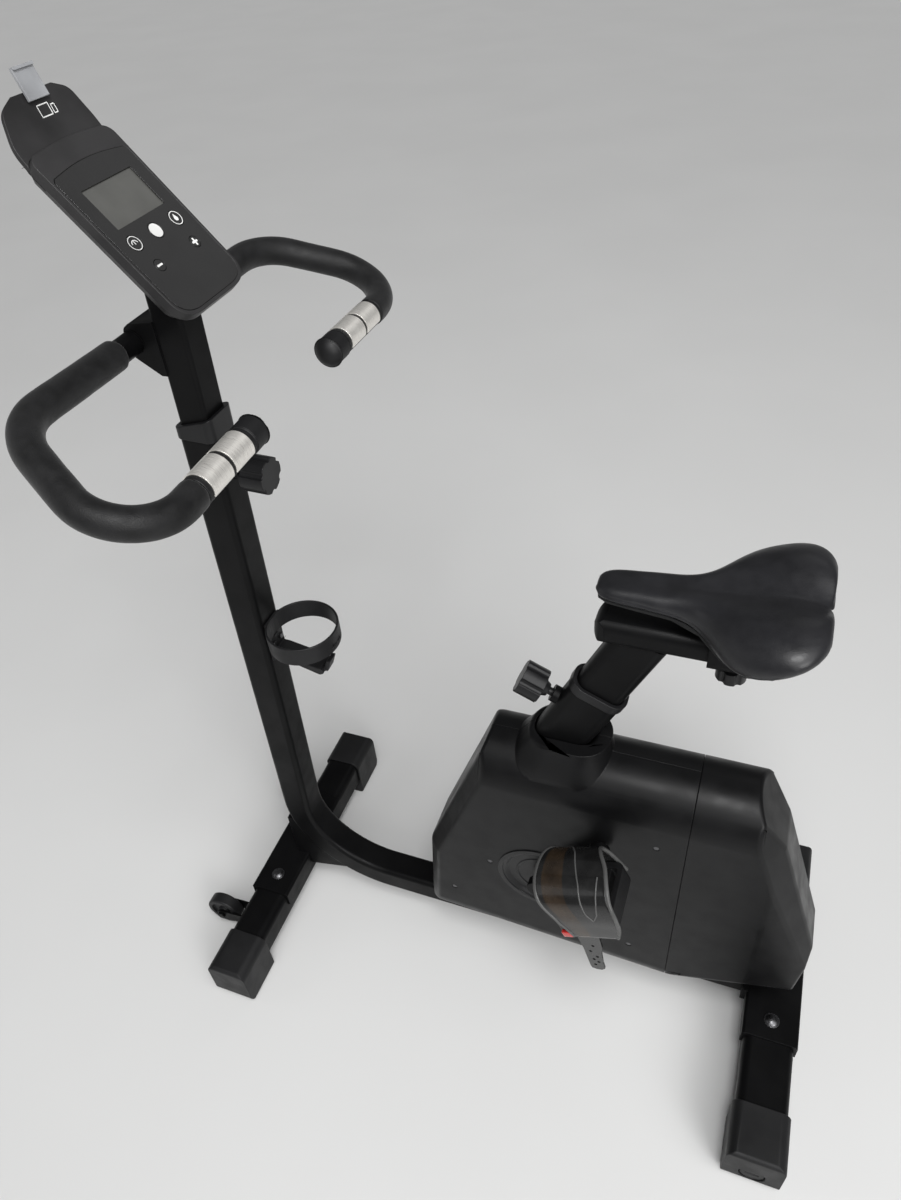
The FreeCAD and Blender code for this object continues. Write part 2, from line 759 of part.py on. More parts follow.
def strap_arch():
    """The band over the foot, swept much wider than it ends up."""
    inner = PEDAL_IN - 3.4
    outer = PEDAL_OUT + 3.4
    spine = path_edges(
        [V(0, inner, -9), V(0, inner, STRAP_CROWN), V(0, outer, STRAP_CROWN), V(0, outer, -9)],
        [0, 38, 38, 0],
    )
    band = outline(rectangle(60, STRAP_THICK / 2), 0, lambda a, b: V(a, inner + b, -9))
    return pipe(spine, band)


def strap_blank():
    """Wide foot strap over the left pedal, level, with the tail that hangs outside."""
    arch = strap_arch().common(slab(STRAP_SIDE, [4, 4, 40, 30, 14, 20, 30, 30], 0, 300))
    outer = PEDAL_OUT + 3.4
    tail = slab(STRAP_TAIL, [0, 0, 10, 5, 5, 10], outer - STRAP_THICK / 2, outer + STRAP_THICK / 2)
    for x, z in TAIL_HOLES:
        tail = tail.cut(rod_y(x, z, 2.0, outer - 10, outer + 10))
    spindle_hole = rod_y(0, 0, 8.0, PEDAL_IN - 20, PEDAL_IN)
    return fused([arch.cut(spindle_hole), tail])


def at_pedal(shape, pedal):
    """The level pedal shape, tilted toe down and moved to its spindle."""
    copy = turned(shape, V(0, 0, 0), Y_AXIS, PEDAL_TILT)
    copy.translate(V(pedal.x, 0, pedal.z))
    return copy


def pedal_pieces():
    body = pedal_blank()
    strap = strap_blank()
    return {
        "pedal_left": at_pedal(body, LEFT_PEDAL),
        "pedal_left_strap": at_pedal(strap, LEFT_PEDAL),
        "pedal_right": at_pedal(mirrored(body), RIGHT_PEDAL),
        "pedal_right_strap": at_pedal(mirrored(strap), RIGHT_PEDAL),
    }


def flywheel():
    """Steel flywheel with a heavy rim."""
    rim = ring_y(FLY_X, FLY_Z, FLY_R, FLY_R - 22, FLY_Y[0], FLY_Y[1])
    web = rod_y(FLY_X, FLY_Z, FLY_R - 10, FLY_Y[0] + 6, FLY_Y[1] - 6)
    hub = rod_y(FLY_X, FLY_Z, 24.0, FLY_Y[0], FLY_Y[1] + 2)
    bore = rod_y(FLY_X, FLY_Z, HUB_BORE + RUNNING, -60, 60)
    return fused([rim, web, hub]).cut(bore)


def flywheel_pulley():
    sleeve = ring_y(FLY_X, FLY_Z, SMALL_R - 2, HUB_BORE + RUNNING, FLY_Y[1] + 2, 52)
    track = ring_y(FLY_X, FLY_Z, SMALL_R, SMALL_R - 3, 39, 51)
    return fused([sleeve, track])


DROP_BACK = -719.0
DROP_FRONT = -665.0
DROP_TOP = 318.0         # rounded top of the plates, just over the axle
RIGHT_STEP = 150.0       # heights at which the two plates step outwards
LEFT_STEP = 236.0


def dropout(inside, outside, step, sign):
    """One plate on the spar: a low leg, a step outwards and the upper plate with the axle's hole."""
    def across(y0, y1):
        return sorted((sign * y0, sign * y1))

    low = block(DROP_BACK, DROP_FRONT, *across(32, 36), SPAR_TOP, step + 4)
    shelf = block(DROP_BACK, DROP_FRONT, *across(32, outside), step, step + 4)
    side = [(DROP_BACK, step), (DROP_FRONT, step), (FLY_X + 20, DROP_TOP), (FLY_X - 20, DROP_TOP)]
    return fused([low, shelf, slab(side, [0, 0, 16, 16], *across(inside, outside))])


def dropouts():
    """Pair of plates that hold the flywheel's axle. Both step out, the left one past the belt."""
    base = block(DROP_BACK, DROP_FRONT, -36, 36, SPAR_TOP, SPAR_TOP + 4)
    left = dropout(53, 56, LEFT_STEP, 1)
    right = dropout(43, 46.5, RIGHT_STEP, -1)
    return fused([base, left, right]).cut(rod_y(FLY_X, FLY_Z, 6.0, -60, 60))


def flywheel_mount():
    """The dropout plates, and the fixed axle with its two nuts."""
    axle = [rod_y(FLY_X, FLY_Z, 6.0, -52, 56)]
    for y0, y1 in ((-50.5, -46.5), (-43, -38.5)):
        axle.append(rod_y(FLY_X, FLY_Z, 10.0, y0, y1))
    return [dropouts(), fused(axle)]


def belt_loop(spread, y0, y1):
    """Solid stadium between the two pulleys, spread beyond their rims."""
    big = PULLEY_R + spread
    small = SMALL_R + spread
    gap = V(FLY_X - CRANK_X, 0, FLY_Z - CRANK_Z)
    turn = math.acos((big - small) / gap.Length)
    heading = math.atan2(gap.z, gap.x)
    corners = []
    for sign in (1, -1):
        angle = heading + sign * turn
        way = V(math.cos(angle), 0, math.sin(angle))
        corners.append((V(CRANK_X, y0, CRANK_Z) + way * big, V(FLY_X, y0, FLY_Z) + way * small))
    (big_a, small_a), (big_b, small_b) = corners
    far_big = V(CRANK_X, y0, CRANK_Z) - gap.normalize() * big
    far_small = V(FLY_X, y0, FLY_Z) + gap * small
    edges = [
        Part.LineSegment(big_a, small_a).toShape(),
        Part.Arc(small_a, far_small, small_b).toShape(),
        Part.LineSegment(small_b, big_b).toShape(),
        Part.Arc(big_b, far_big, big_a).toShape(),
    ]
    return Part.Face(Part.Wire(edges)).extrude(Y_AXIS * (y1 - y0))


def drive_belt():
    outer = belt_loop(GAP + BELT_THICK, *BELT_Y)
    inner = belt_loop(GAP, BELT_Y[0] - 1, BELT_Y[1] + 1)
    return outer.cut(inner)


IDLER = V(-618.0, 0, 203.5)
IDLER_R = 14.0


def idler_pulley():
    return ring_y(IDLER.x, IDLER.z, IDLER_R, 5.0 + RUNNING, 39, 51)


def idler_arm():
    """Bracket on the spar that carries the belt's tensioner."""
    way = slab([(-612, 140), (-588, 140), (IDLER.x + 11, IDLER.z + 6), (IDLER.x - 11, IDLER.z + 6)],
               [10, 10, 9, 9], 33, 37)
    pin = rod_y(IDLER.x, IDLER.z, 5.0, 34, 52.5)
    foot = block(-614, -586, -10, 37, SPAR_TOP, SPAR_TOP + 4)
    leg = block(-614, -586, 33, 37, SPAR_TOP, 150)
    return fused([way, pin, foot, leg])


MAGNET_PIVOT_ANGLE = math.radians(214)
MAGNET_MID_R = FLY_R + 9.0
MAGNET_PIVOT = V(FLY_X + MAGNET_MID_R * math.cos(MAGNET_PIVOT_ANGLE), 0,
                 FLY_Z + MAGNET_MID_R * math.sin(MAGNET_PIVOT_ANGLE))


def magnet_arm():
    """Curved shoe with magnets that swings up to the flywheel's rim from below."""
    band = ring_y(FLY_X, FLY_Z, FLY_R + 13, FLY_R + 5, FLY_Y[0] - 3, FLY_Y[1] + 3)
    pads = []
    for degrees in range(228, 300, 14):
        pad = block(-6, 6, FLY_Y[0], FLY_Y[1], FLY_R + 3, FLY_R + 5.5)
        pad.rotate(V(0, 0, 0), Y_AXIS, 90 - degrees)
        pad.translate(V(FLY_X, 0, FLY_Z))
        pads.append(pad)
    window = slab(
        [(FLY_X, FLY_Z)] + [
            (FLY_X + 200 * math.cos(math.radians(d)), FLY_Z + 200 * math.sin(math.radians(d)))
            for d in (208, 256, 304)
        ],
        0, -60, 20,
    )
    eye = rod_y(MAGNET_PIVOT.x, MAGNET_PIVOT.z, 8.0, FLY_Y[0] - 3, FLY_Y[1] + 3)
    room = rod_y(FLY_X, FLY_Z, FLY_R + 2.5, -60, 60)
    whole = fused([band.common(window), eye] + pads)
    return whole.cut(rod_y(MAGNET_PIVOT.x, MAGNET_PIVOT.z, 4.0 + RUNNING, -60, 60)).cut(room)


def brake_servo():
    """Gearmotor that sets the brake, on its bracket with the magnet arm's hinge pin."""
    case = slab(rectangle(21, 16, -562, 141), 4, -36, -2)
    drum = rod_y(-575, 146, 9.0, -2, 4)
    foot = block(-584, -540, -36, 10, SPAR_TOP, SPAR_TOP + 3)
    wall = block(-584, -540, -36, -32, SPAR_TOP + 3, 130)
    motor = fused([case, drum, wall, foot])
    pin = rod_y(MAGNET_PIVOT.x, MAGNET_PIVOT.z, 4.0, -44, 2)
    back, front = -770, -740
    ear = slab([(back, SPAR_TOP), (front, SPAR_TOP), (MAGNET_PIVOT.x + 9, MAGNET_PIVOT.z + 8),
                (MAGNET_PIVOT.x - 9, MAGNET_PIVOT.z + 8)], [0, 0, 8, 8], -4, 0)
    return [motor, fused([pin, ear, block(back, front, -23, 0, SPAR_TOP, SPAR_TOP + 3)])]


# ---------------------------------------------------------------- mast, bar and console


def square_bar(side, radius, low, high):
    return local_slab(rectangle(side / 2, side / 2), radius, low, high)


COLLAR_RISE = 12.0       # height of the bush over the mast's mouth, on the centre line
COLLAR_SLANT = 17.0      # degrees its top falls towards the front


def mast_collar():
    """Plastic bush that lines the mast's mouth, higher on the rider's side."""
    place = mast_frame(MAST_TOP)
    flange = square_bar(MAST_SIDE + 4, 9.5, -9, 30).cut(square_bar(MAST_SIDE, 8.0, -10, 0))
    rise = Part.makeBox(100, 100, 60, V(-50, -50, COLLAR_RISE))
    flange = flange.cut(turned(rise, V(0, 0, COLLAR_RISE), Y_AXIS, COLLAR_SLANT))
    liner = square_bar(MAST_SIDE - 2 * MAST_WALL, 6.0, -42, 1)
    ring = fused([flange, liner])
    bore = square_bar(INNER_SIDE + 2 * GAP, 5.4, -60, 20)
    return placed(ring.cut(bore), place)


def console_back_plane():
    """Cutting block behind the console's back face, for what ends against it."""
    return half_space(FACE_POINT - FACE_OUT * 24.0, FACE_OUT)


def upper_mast():
    """Sliding inner tube with the handlebar's stem welded to its front."""
    place = mast_frame(MAST_TOP)
    low = INNER_LOW - MAST_TOP
    tube = placed(square_bar(INNER_SIDE, 5.0, low, 210), place)
    tube = tube.cut(console_back_plane())
    bore = placed(square_bar(INNER_SIDE - 4, 3.5, low - 5, 150), place)
    front = mast_point(BAR_MID.z).x + INNER_SIDE / 2
    stem = slab([(front - 3, 1012), (front + 4, 1012), (BAR_MID.x, 1028), (BAR_MID.x + 8, 1034),
                 (BAR_MID.x + 8, 1062), (BAR_MID.x, 1068), (front - 3, 1072)],
                [0, 2, 4, 8, 8, 4, 0], -21, 21)
    whole = fused([tube.cut(bore), stem.cut(bore)])
    return whole.cut(bar_tube(BAR_R))


def bar_points(sign):
    mirror = V(1, sign, 1)
    points = (BAR_BEND, BAR_CORNER, BAR_TIP)
    return [V(p.x * mirror.x, p.y * mirror.y, p.z * mirror.z) for p in points]


def bar_tube(radius):
    """The whole bent handlebar as a solid of the given radius."""
    left = bar_points(1)
    right = bar_points(-1)
    middle = [V(BAR_MID.x, -40, BAR_MID.z), V(BAR_MID.x, 40, BAR_MID.z)]
    points = list(reversed(right)) + middle + left
    radii = [0, BAR_CORNER_R, BAR_BEND_R, 60, 60, BAR_BEND_R, BAR_CORNER_R, 0]
    edges = path_edges(points, radii)
    start = points[0]
    return pipe(edges, circle_at(start, points[1] - start, radius))


def handlebar():
    return bar_tube(BAR_R).cut(bar_tube(BAR_R - 2.0))


def on_first_run(y):
    """Point of the left half's first straight run at the given y."""
    start = V(BAR_MID.x, 40, BAR_MID.z)
    share = (y - start.y) / (BAR_BEND.y - start.y)
    return start + (BAR_BEND - start) * share


def on_last_run(y):
    """Point of the left half's last straight run at the given y."""
    share = (y - BAR_CORNER.y) / (BAR_TIP.y - BAR_CORNER.y)
    return BAR_CORNER + (BAR_TIP - BAR_CORNER) * share


def foam_solid(radius):
    start = on_first_run(FOAM_START)
    points = [start, BAR_BEND, BAR_CORNER, on_last_run(SENSOR_Y[1])]
    edges = path_edges(points, [0, BAR_BEND_R, BAR_CORNER_R, 0])
    return pipe(edges, circle_at(start, BAR_BEND - start, radius))


def grips():
    foam = foam_solid(FOAM_R).cut(foam_solid(BAR_R))
    return both_sides(foam)


def sensor_sleeve():
    """Plastic sleeve that carries the pulse plates and closes the bar's end. The left one."""
    start = on_last_run(SENSOR_Y[1] - 0.1)
    stop = BAR_TIP
    way = (stop - start).normalize()
    body = rod(start, stop + way * 3, FOAM_R - 0.9)
    cap = rod(on_last_run(SENSOR_Y[0]), stop + way * 6, FOAM_R + 0.3)
    dome = Part.makeSphere(FOAM_R + 2.3, stop - way * 3).common(
        rod(stop, stop + way * 30, FOAM_R + 0.3))
    return fused([body, cap, dome]).cut(rod(start - way * 5, stop, BAR_R))


def pulse_plates():
    """Two stainless half shells on top of each sleeve."""
    plates = []
    for y0, y1 in ((111.0, 145.0), (150.0, 184.0)):
        start = on_last_run(y1)
        stop = on_last_run(y0)
        shell = rod(start, stop, FOAM_R + 0.4).cut(rod(start, stop, FOAM_R - 0.9))
        side = V(-0.42, 0, 0.9).normalize()
        keep = half_space(start + side * 1.5, side)
        plates.extend(both_sides(largest(shell.common(keep))))
    return plates


def console_outline(inset):
    half = FACE_HALF - inset
    low = FACE_LOW + inset
    high = FACE_HIGH - inset
    return [(-half, low + 6), (-half * 0.62, low), (half * 0.62, low), (half, low + 6),
            (half, high - 3), (0, high + 2), (-half, high - 3)]


CONSOLE_RADII = [22, 40, 40, 22, 12, 300, 12]


def console_slab(inset, low, high):
    radii = [max(radius - inset, 2) for radius in CONSOLE_RADII]
    return local_slab(console_outline(inset), radii, low, high)


def window_outline(inset):
    half = FACE_HALF - 3.5 - inset
    low = FACE_LOW + 4 + inset
    high = 66.0 - inset
    return [(-half, low + 6), (-half * 0.62, low), (half * 0.62, low), (half, low + 6),
            (half, high - 4), (0, high + 4), (-half, high - 4)]


WINDOW_RADII = [19, 38, 38, 19, 6, 240, 6]
LCD_HALF = 37.7
LCD_HIGH = 43.4
KEY_ROW = -16.9
STEP_ROW = -44.4
KEYS = {
    "key_mode": (-34.1, KEY_ROW, 8.0),
    "key_enter": (0.0, KEY_ROW, 8.0),
    "key_reset": (34.1, KEY_ROW, 8.0),
    "key_minus": (-30.4, STEP_ROW, 6.0),
    "key_plus": (30.4, STEP_ROW, 6.0),
}


def key_holes(grow):
    return [Part.makeCylinder(radius + grow, 30, V(x, y, -20), Z_AXIS)
            for x, y, radius in KEYS.values()]


def console_front():
    """Bezel of the console: a shallow tray with a seat for the window."""
    body = console_slab(0, -11, 0)
    cavity = console_slab(3.0, -12, -3.2)
    seat = local_slab(window_outline(-0.1), WINDOW_RADII, -1.6, 2)
    screen = local_slab(rectangle(LCD_HALF + 3, LCD_HIGH / 2 + 3, 0, LCD_HIGH / 2), 1, -10, 2)
    shape = body.cut(cavity).cut(seat).cut(screen).cut(Part.makeCompound(key_holes(0.6)))
    return placed(shape, FACE_FRAME)


def console_window():
    """Glossy fascia with an opening for the display and holes for the keys."""
    sheet = local_slab(window_outline(0.1), WINDOW_RADII, -1.5, 0.1)
    opening = local_slab(rectangle(LCD_HALF, LCD_HIGH / 2, 0, LCD_HIGH / 2), 1, -5, 5)
    sheet = sheet.cut(opening).cut(Part.makeCompound(key_holes(GAP)))
    return placed(sheet, FACE_FRAME)


def display_board():
    """Liquid crystal panel, and the circuit board that reads the keys below it."""
    panel = local_slab(rectangle(LCD_HALF + 2.5, LCD_HIGH / 2 + 2.5, 0, LCD_HIGH / 2), 0.5,
                       -6.0, -1.55)
    board = local_slab(rectangle(46, 58, 0, -10), 3, -7.7, -6.1)
    return [placed(panel, FACE_FRAME), placed(board, FACE_FRAME)]


def key(x, y, radius):
    stem = Part.makeCylinder(radius, 4.0, V(x, y, -3.9), Z_AXIS)
    return placed(stem, FACE_FRAME)


REST_LOW = 62.0
REST_BEND = 98.0
REST_TOP = 134.0


def rest_profile(lift):
    """Side line of the tablet rest, which curls towards the rider at its top."""
    return [(REST_LOW, -8.5 + lift), (REST_BEND, -5 + lift), (REST_TOP, 9.5 + lift)]


def tablet_rest_local():
    """Upright plate behind a tablet, with rounded shoulders."""
    front = rest_profile(0)
    back = list(reversed(rest_profile(-5)))
    points = [V(-80, a, b) for a, b in front + back]
    face = Part.Face(Part.Wire(path_edges(points, [0, 90, 0, 0, 90, 0], closed=True)))
    curl = face.extrude(V(160, 0, 0))
    shape = [(-57, 40), (57, 40), (57, 100), (46, REST_TOP - 7), (22, REST_TOP + 2),
             (-22, REST_TOP + 2), (-46, REST_TOP - 7), (-57, 100)]
    plan = local_slab(shape, [4, 4, 40, 16, 20, 20, 16, 40], -40, 40)
    return curl.common(plan)


def shell_loft(inset, low, high, taper):
    """A tapered body behind the bezel, narrower by taper at its back."""
    wires = []
    for depth, extra in ((low, taper), (high, 0.0)):
        radii = [max(radius - inset - extra, 2) for radius in CONSOLE_RADII]
        points = console_outline(inset + extra)
        wires.append(outline(points, radii, lambda a, b, z=depth: V(a, b, z)))
    return Part.makeLoft(wires, True, True)


def console_back():
    """Rear shell of the console, in one piece with the tablet rest."""
    pan = shell_loft(1.0, -24, -11.02, 9.0)
    cavity = shell_loft(3.5, -21.5, -11.0, 8.0)
    rest = tablet_rest_local().cut(console_slab(-0.05, -11.02, 30))
    return placed(largest(fused([pan, rest]).cut(cavity)), FACE_FRAME)


CLIP_HALF = 13.5
CLIP_LOW = (125.0, 7.8)      # along the face, then out of it
CLIP_TOP = (151.0, 18.4)
CLIP_HOOK = (149.0, 23.0)
CLIP_THICK = 3.0


def tablet_clip():
    """Grey spring clip that hooks over a tablet's upper edge."""
    base, top, hook = [V(0, a, b) for a, b in (CLIP_LOW, CLIP_TOP, CLIP_HOOK)]
    way = (top - base).normalize()
    out = V(0, -way.z, way.y)
    inner = [base, top, hook]
    outer = [base + out * CLIP_THICK, top + out * CLIP_THICK - way, hook - way * CLIP_THICK]
    face = Part.Face(Part.makePolygon(inner + list(reversed(outer)) + inner[:1]))
    tongue = face.extrude(V(2 * CLIP_HALF, 0, 0))
    tongue.translate(V(-CLIP_HALF, 0, 0))
    return placed(tongue, FACE_FRAME)


# ---------------------------------------------------------------- knobs


def knob(base, way, start):
    """Lobed hand knob on its threaded shank. start is the gap between base and the shank."""
    side = way.cross(Y_AXIS).normalize()
    place = framed(base + way * start, side, way.cross(side), way)
    shank = Part.makeCylinder(5.0, KNOB_NECK, V(0, 0, 0), Z_AXIS)
    neck = Part.makeCone(8.0, 12.0, 10.0, V(0, 0, KNOB_NECK - 12), Z_AXIS)
    head = Part.makeCylinder(KNOB_R, KNOB_LENGTH, V(0, 0, KNOB_NECK - 4), Z_AXIS)
    grooves = []
    for step in range(6):
        angle = math.radians(60 * step)
        grooves.append(Part.makeCylinder(5.0, KNOB_LENGTH * 2, V(
            (KNOB_R + 2) * math.cos(angle), (KNOB_R + 2) * math.sin(angle), 0), Z_AXIS))
    body = fused([shank, neck, head.cut(Part.makeCompound(grooves))])
    return placed(body, place)


def mast_knob():
    return knob(MAST_KNOB_BASE, MAST_BACK, INNER_SIDE / 2 + 0.6)


def seat_knob():
    return knob(SEAT_KNOB_BASE, SEAT_FRONT, POST[0] / 2 + 0.8)


def slide_knob():
    """Clamp knob under the saddle's carriage."""
    base = V(CARRIAGE_X, 0, RAIL_LOW - 6.5)
    head = Part.makeCylinder(17, 16, base - V(0, 0, 22), Z_AXIS)
    cuts = [Part.makeCylinder(4, 40, base + V(19 * math.cos(math.radians(a)),
                                              19 * math.sin(math.radians(a)), -40), Z_AXIS)
            for a in range(0, 360, 60)]
    shank = Part.makeCylinder(4.0, 8.0, base - V(0, 0, 8), Z_AXIS)
    return fused([head.cut(Part.makeCompound(cuts)), shank])


# ---------------------------------------------------------------- seat


def seat_collar():
    flange = rounded_bar(SLEEVE, -8, 5, grow=2.2).cut(rounded_bar(SLEEVE, -9, 0))
    liner = rounded_bar(SLEEVE, -40, 1, grow=-2.0)
    bore = rounded_bar(POST, -60, 20, grow=GAP)
    hole = Part.makeCylinder(5.4, 80, V(0, 0, -SEAT_KNOB_DOWN), X_AXIS)
    return placed(fused([flange, liner]).cut(bore).cut(hole), SEAT_FRAME)


def rail_form(x0, x1, grow=0.0):
    middle = (RAIL_LOW + RAIL_TOP) / 2
    half = (RAIL_TOP - RAIL_LOW) / 2
    return slab(rectangle(RAIL_W / 2 + grow, half + grow, 0, middle), 13 + grow, x0, x1, "X")


def seat_post():
    """Oval post with the fore and aft rail welded across its top."""
    rise = (RAIL_LOW + 8 - SEAT_RIM.z) / SEAT_UP.z
    post = placed(rounded_bar(POST, -POST_IN_SLEEVE, rise), SEAT_FRAME)
    post = post.cut(placed(rounded_bar(POST, -POST_IN_SLEEVE - 1, rise - 30, grow=-2.0), SEAT_FRAME))
    rail = rail_form(RAIL_BACK, RAIL_FRONT)
    side = slab([(RAIL_BACK, RAIL_LOW), (RAIL_FRONT, RAIL_LOW), (RAIL_FRONT, RAIL_TOP),
                 (RAIL_BACK, RAIL_TOP)], [0, 14, 17, 0], -RAIL_W, RAIL_W)
    plan = slab([(RAIL_BACK, -RAIL_W / 2), (RAIL_FRONT, -RAIL_W / 2), (RAIL_FRONT, RAIL_W / 2),
                 (RAIL_BACK, RAIL_W / 2)], [4, 20, 20, 4], RAIL_LOW - 10, RAIL_TOP + 10, "Z")
    return fused([post, rail.common(plan).common(side)])


CARRIAGE_X = -668.0
CARRIAGE_HALF = 26.0
SADDLE_RUN = [           # x, half width, crest, depth of the channel, underside
    (-517, 9, 816, 0.0, 809),
    (-521, 16, 819, 0.0, 807),
    (-532, 22, 821.5, 0.3, 805),
    (-560, 25, 824, 0.6, 804),
    (-600, 28, 827, 1.5, 802),
    (-630, 40, 831, 3.0, 797),
    (-655, 70, 836, 5.5, 793),
    (-680, 91, 842, 8.0, 795),
    (-705, 97, 848, 10.0, 804),
    (-728, 93, 850, 12.0, 817),
    (-742, 80, 848, 13.0, 825),
    (-750, 60, 843, 11.0, 829),
]
PAN_THICK = 4.0


def ring_through(points):
    """A smooth closed wire through points."""
    curve = Part.BSplineCurve()
    curve.interpolate(points, PeriodicFlag=True)
    return Part.Wire(curve.toShape())


def saddle_section(x, half, crest, channel, low):
    """Cross section of the cushion: two lobes with a channel between them."""
    tall = crest - low
    right = [(0.62, low), (0.93, low + 0.1 * tall), (1.0, low + 0.36 * tall),
             (0.94, low + 0.66 * tall), (0.77, low + 0.89 * tall), (0.46, crest)]
    left = [(-share, z) for share, z in reversed(right)]
    ring = [(0.0, low)] + right + [(0.0, crest - channel)] + left
    return ring_through([V(x, share * half, z) for share, z in ring])


def saddle():
    """Plain body of the padded saddle, with its cushion's outer size."""
    return Part.makeLoft([saddle_section(*row) for row in SADDLE_RUN], True, False)


def saddle_pan():
    """Moulded pan under the cushion, which follows its underside."""
    wires = []
    for x, half, _, _, low in SADDLE_RUN[1:-1]:
        reach = 0.86 * half
        points = rectangle(reach, (PAN_THICK + 4) / 2, 0, low + 4 - (PAN_THICK + 4) / 2)
        wires.append(Part.makePolygon([V(x, y, z) for y, z in points + points[:1]]))
    return largest(Part.makeLoft(wires, True, True).cut(saddle()))


def seat_carriage():
    """Clamp round the rail, with the pad that the saddle's pan is screwed to."""
    x0 = CARRIAGE_X - CARRIAGE_HALF
    x1 = CARRIAGE_X + CARRIAGE_HALF
    middle = (RAIL_LOW + RAIL_TOP) / 2
    half = (RAIL_TOP - RAIL_LOW) / 2
    sleeve = slab(rectangle(RAIL_W / 2 + 4, half + 4, 0, middle), 12, x0, x1, "X")
    pad = block(x0, x1, -34, 34, RAIL_TOP + 2, RAIL_TOP + 15).cut(saddle_pan()).cut(saddle())
    hole = Part.makeCylinder(4.5, 20, V(CARRIAGE_X, 0, RAIL_LOW - 15), Z_AXIS)
    return fused([sleeve, largest(pad)]).cut(rail_form(x0 - 5, x1 + 5, GAP)).cut(hole)


# ---------------------------------------------------------------- small outside parts


def wheel(y):
    """Transport wheel with a soft edge and a recessed hub."""
    half = WHEEL_W / 2
    disc = rod_y(WHEEL_X, WHEEL_Z, WHEEL_R, y - half, y + half)
    chamfer = disc.makeFillet(3.0, [edge for edge in disc.Edges if edge.Length > 150])
    for side in (-1, 1):
        low = y + side * (half - 2) - 2
        chamfer = chamfer.cut(ring_y(WHEEL_X, WHEEL_Z, 22, 11, low, low + 4))
    return chamfer.cut(rod_y(WHEEL_X, WHEEL_Z, 5.0 + RUNNING, y - 30, y + 30))


def wheel_bracket():
    """Fork on the front stabilizer with the wheel's axle bolt. The left one."""
    pieces = []
    for side in (-1, 1):
        y = WHEEL_Y + side * (WHEEL_W / 2 + 3)
        pieces.append(slab([(FRONT_W / 2 + 1, 22), (FRONT_W / 2 + 1, 50), (WHEEL_X + 9, 43),
                            (WHEEL_X + 9, 25)], [0, 0, 8.5, 8.5], y - 1.5, y + 1.5))
    plate = block(FRONT_W / 2 + 0.05, FRONT_W / 2 + 3, WHEEL_Y - 18, WHEEL_Y + 18, 40, 68)
    pin = rod_y(WHEEL_X, WHEEL_Z, 5.0, WHEEL_Y - 17, WHEEL_Y + 17)
    head = hex_head(V(WHEEL_X, WHEEL_Y + 14.4, WHEEL_Z), Y_AXIS, 13.0, 4.0)
    return fused(pieces + [plate, pin, head])


def wheel_brackets():
    return both_sides(wheel_bracket())


CAGE_R = 49.0
CAGE_BAND = 3.0
CAGE_LOW = 622.0
CAGE_HIGH = 650.0
CAGE_PLATE = 4.0
CAGE_SCREW_Z = 611.0
CAGE_SCREW_Y = 9.0


def bottle_holder():
    """Open ring for a bottle on a plate behind the mast, with a tongue under it."""
    face = mast_point(636).x - MAST_SIDE / 2
    centre_x = face - CAGE_PLATE - CAGE_R + 4
    ring = Part.makeCylinder(CAGE_R, CAGE_HIGH - CAGE_LOW, V(centre_x, 0, CAGE_LOW), Z_AXIS)
    hole = Part.makeCylinder(CAGE_R - CAGE_BAND, 80, V(centre_x, 0, CAGE_LOW - 20), Z_AXIS)
    place = mast_frame(615)
    plate = placed(local_slab(rectangle(CAGE_PLATE / 2, 17, -MAST_SIDE / 2 - CAGE_PLATE / 2, 0),
                              1.5, -30, 36), place)
    tongue = slab([(face - 2, 600), (face - 2, 594), (centre_x - 20, 574), (centre_x - 30, 580),
                   (centre_x - 20, 586)], [0, 0, 4, 4, 4], -15, 15)
    post = slab([(centre_x - 22, 578), (centre_x - 30, 578), (centre_x - CAGE_R, CAGE_LOW + 10),
                 (centre_x - CAGE_R + 3, CAGE_LOW + 10)], 0, -9, 9)
    keep_out = Part.makeCylinder(CAGE_R - CAGE_BAND + 1, CAGE_LOW - 598, V(centre_x, 0, 598), Z_AXIS)
    frame = spar_solid(MAST_SIDE, 8.0)
    below = fused([tongue, post]).cut(keep_out)
    whole = fused([ring, plate, below]).cut(hole.common(ring))
    return largest(whole.cut(frame))


# ---------------------------------------------------------------- the whole bike


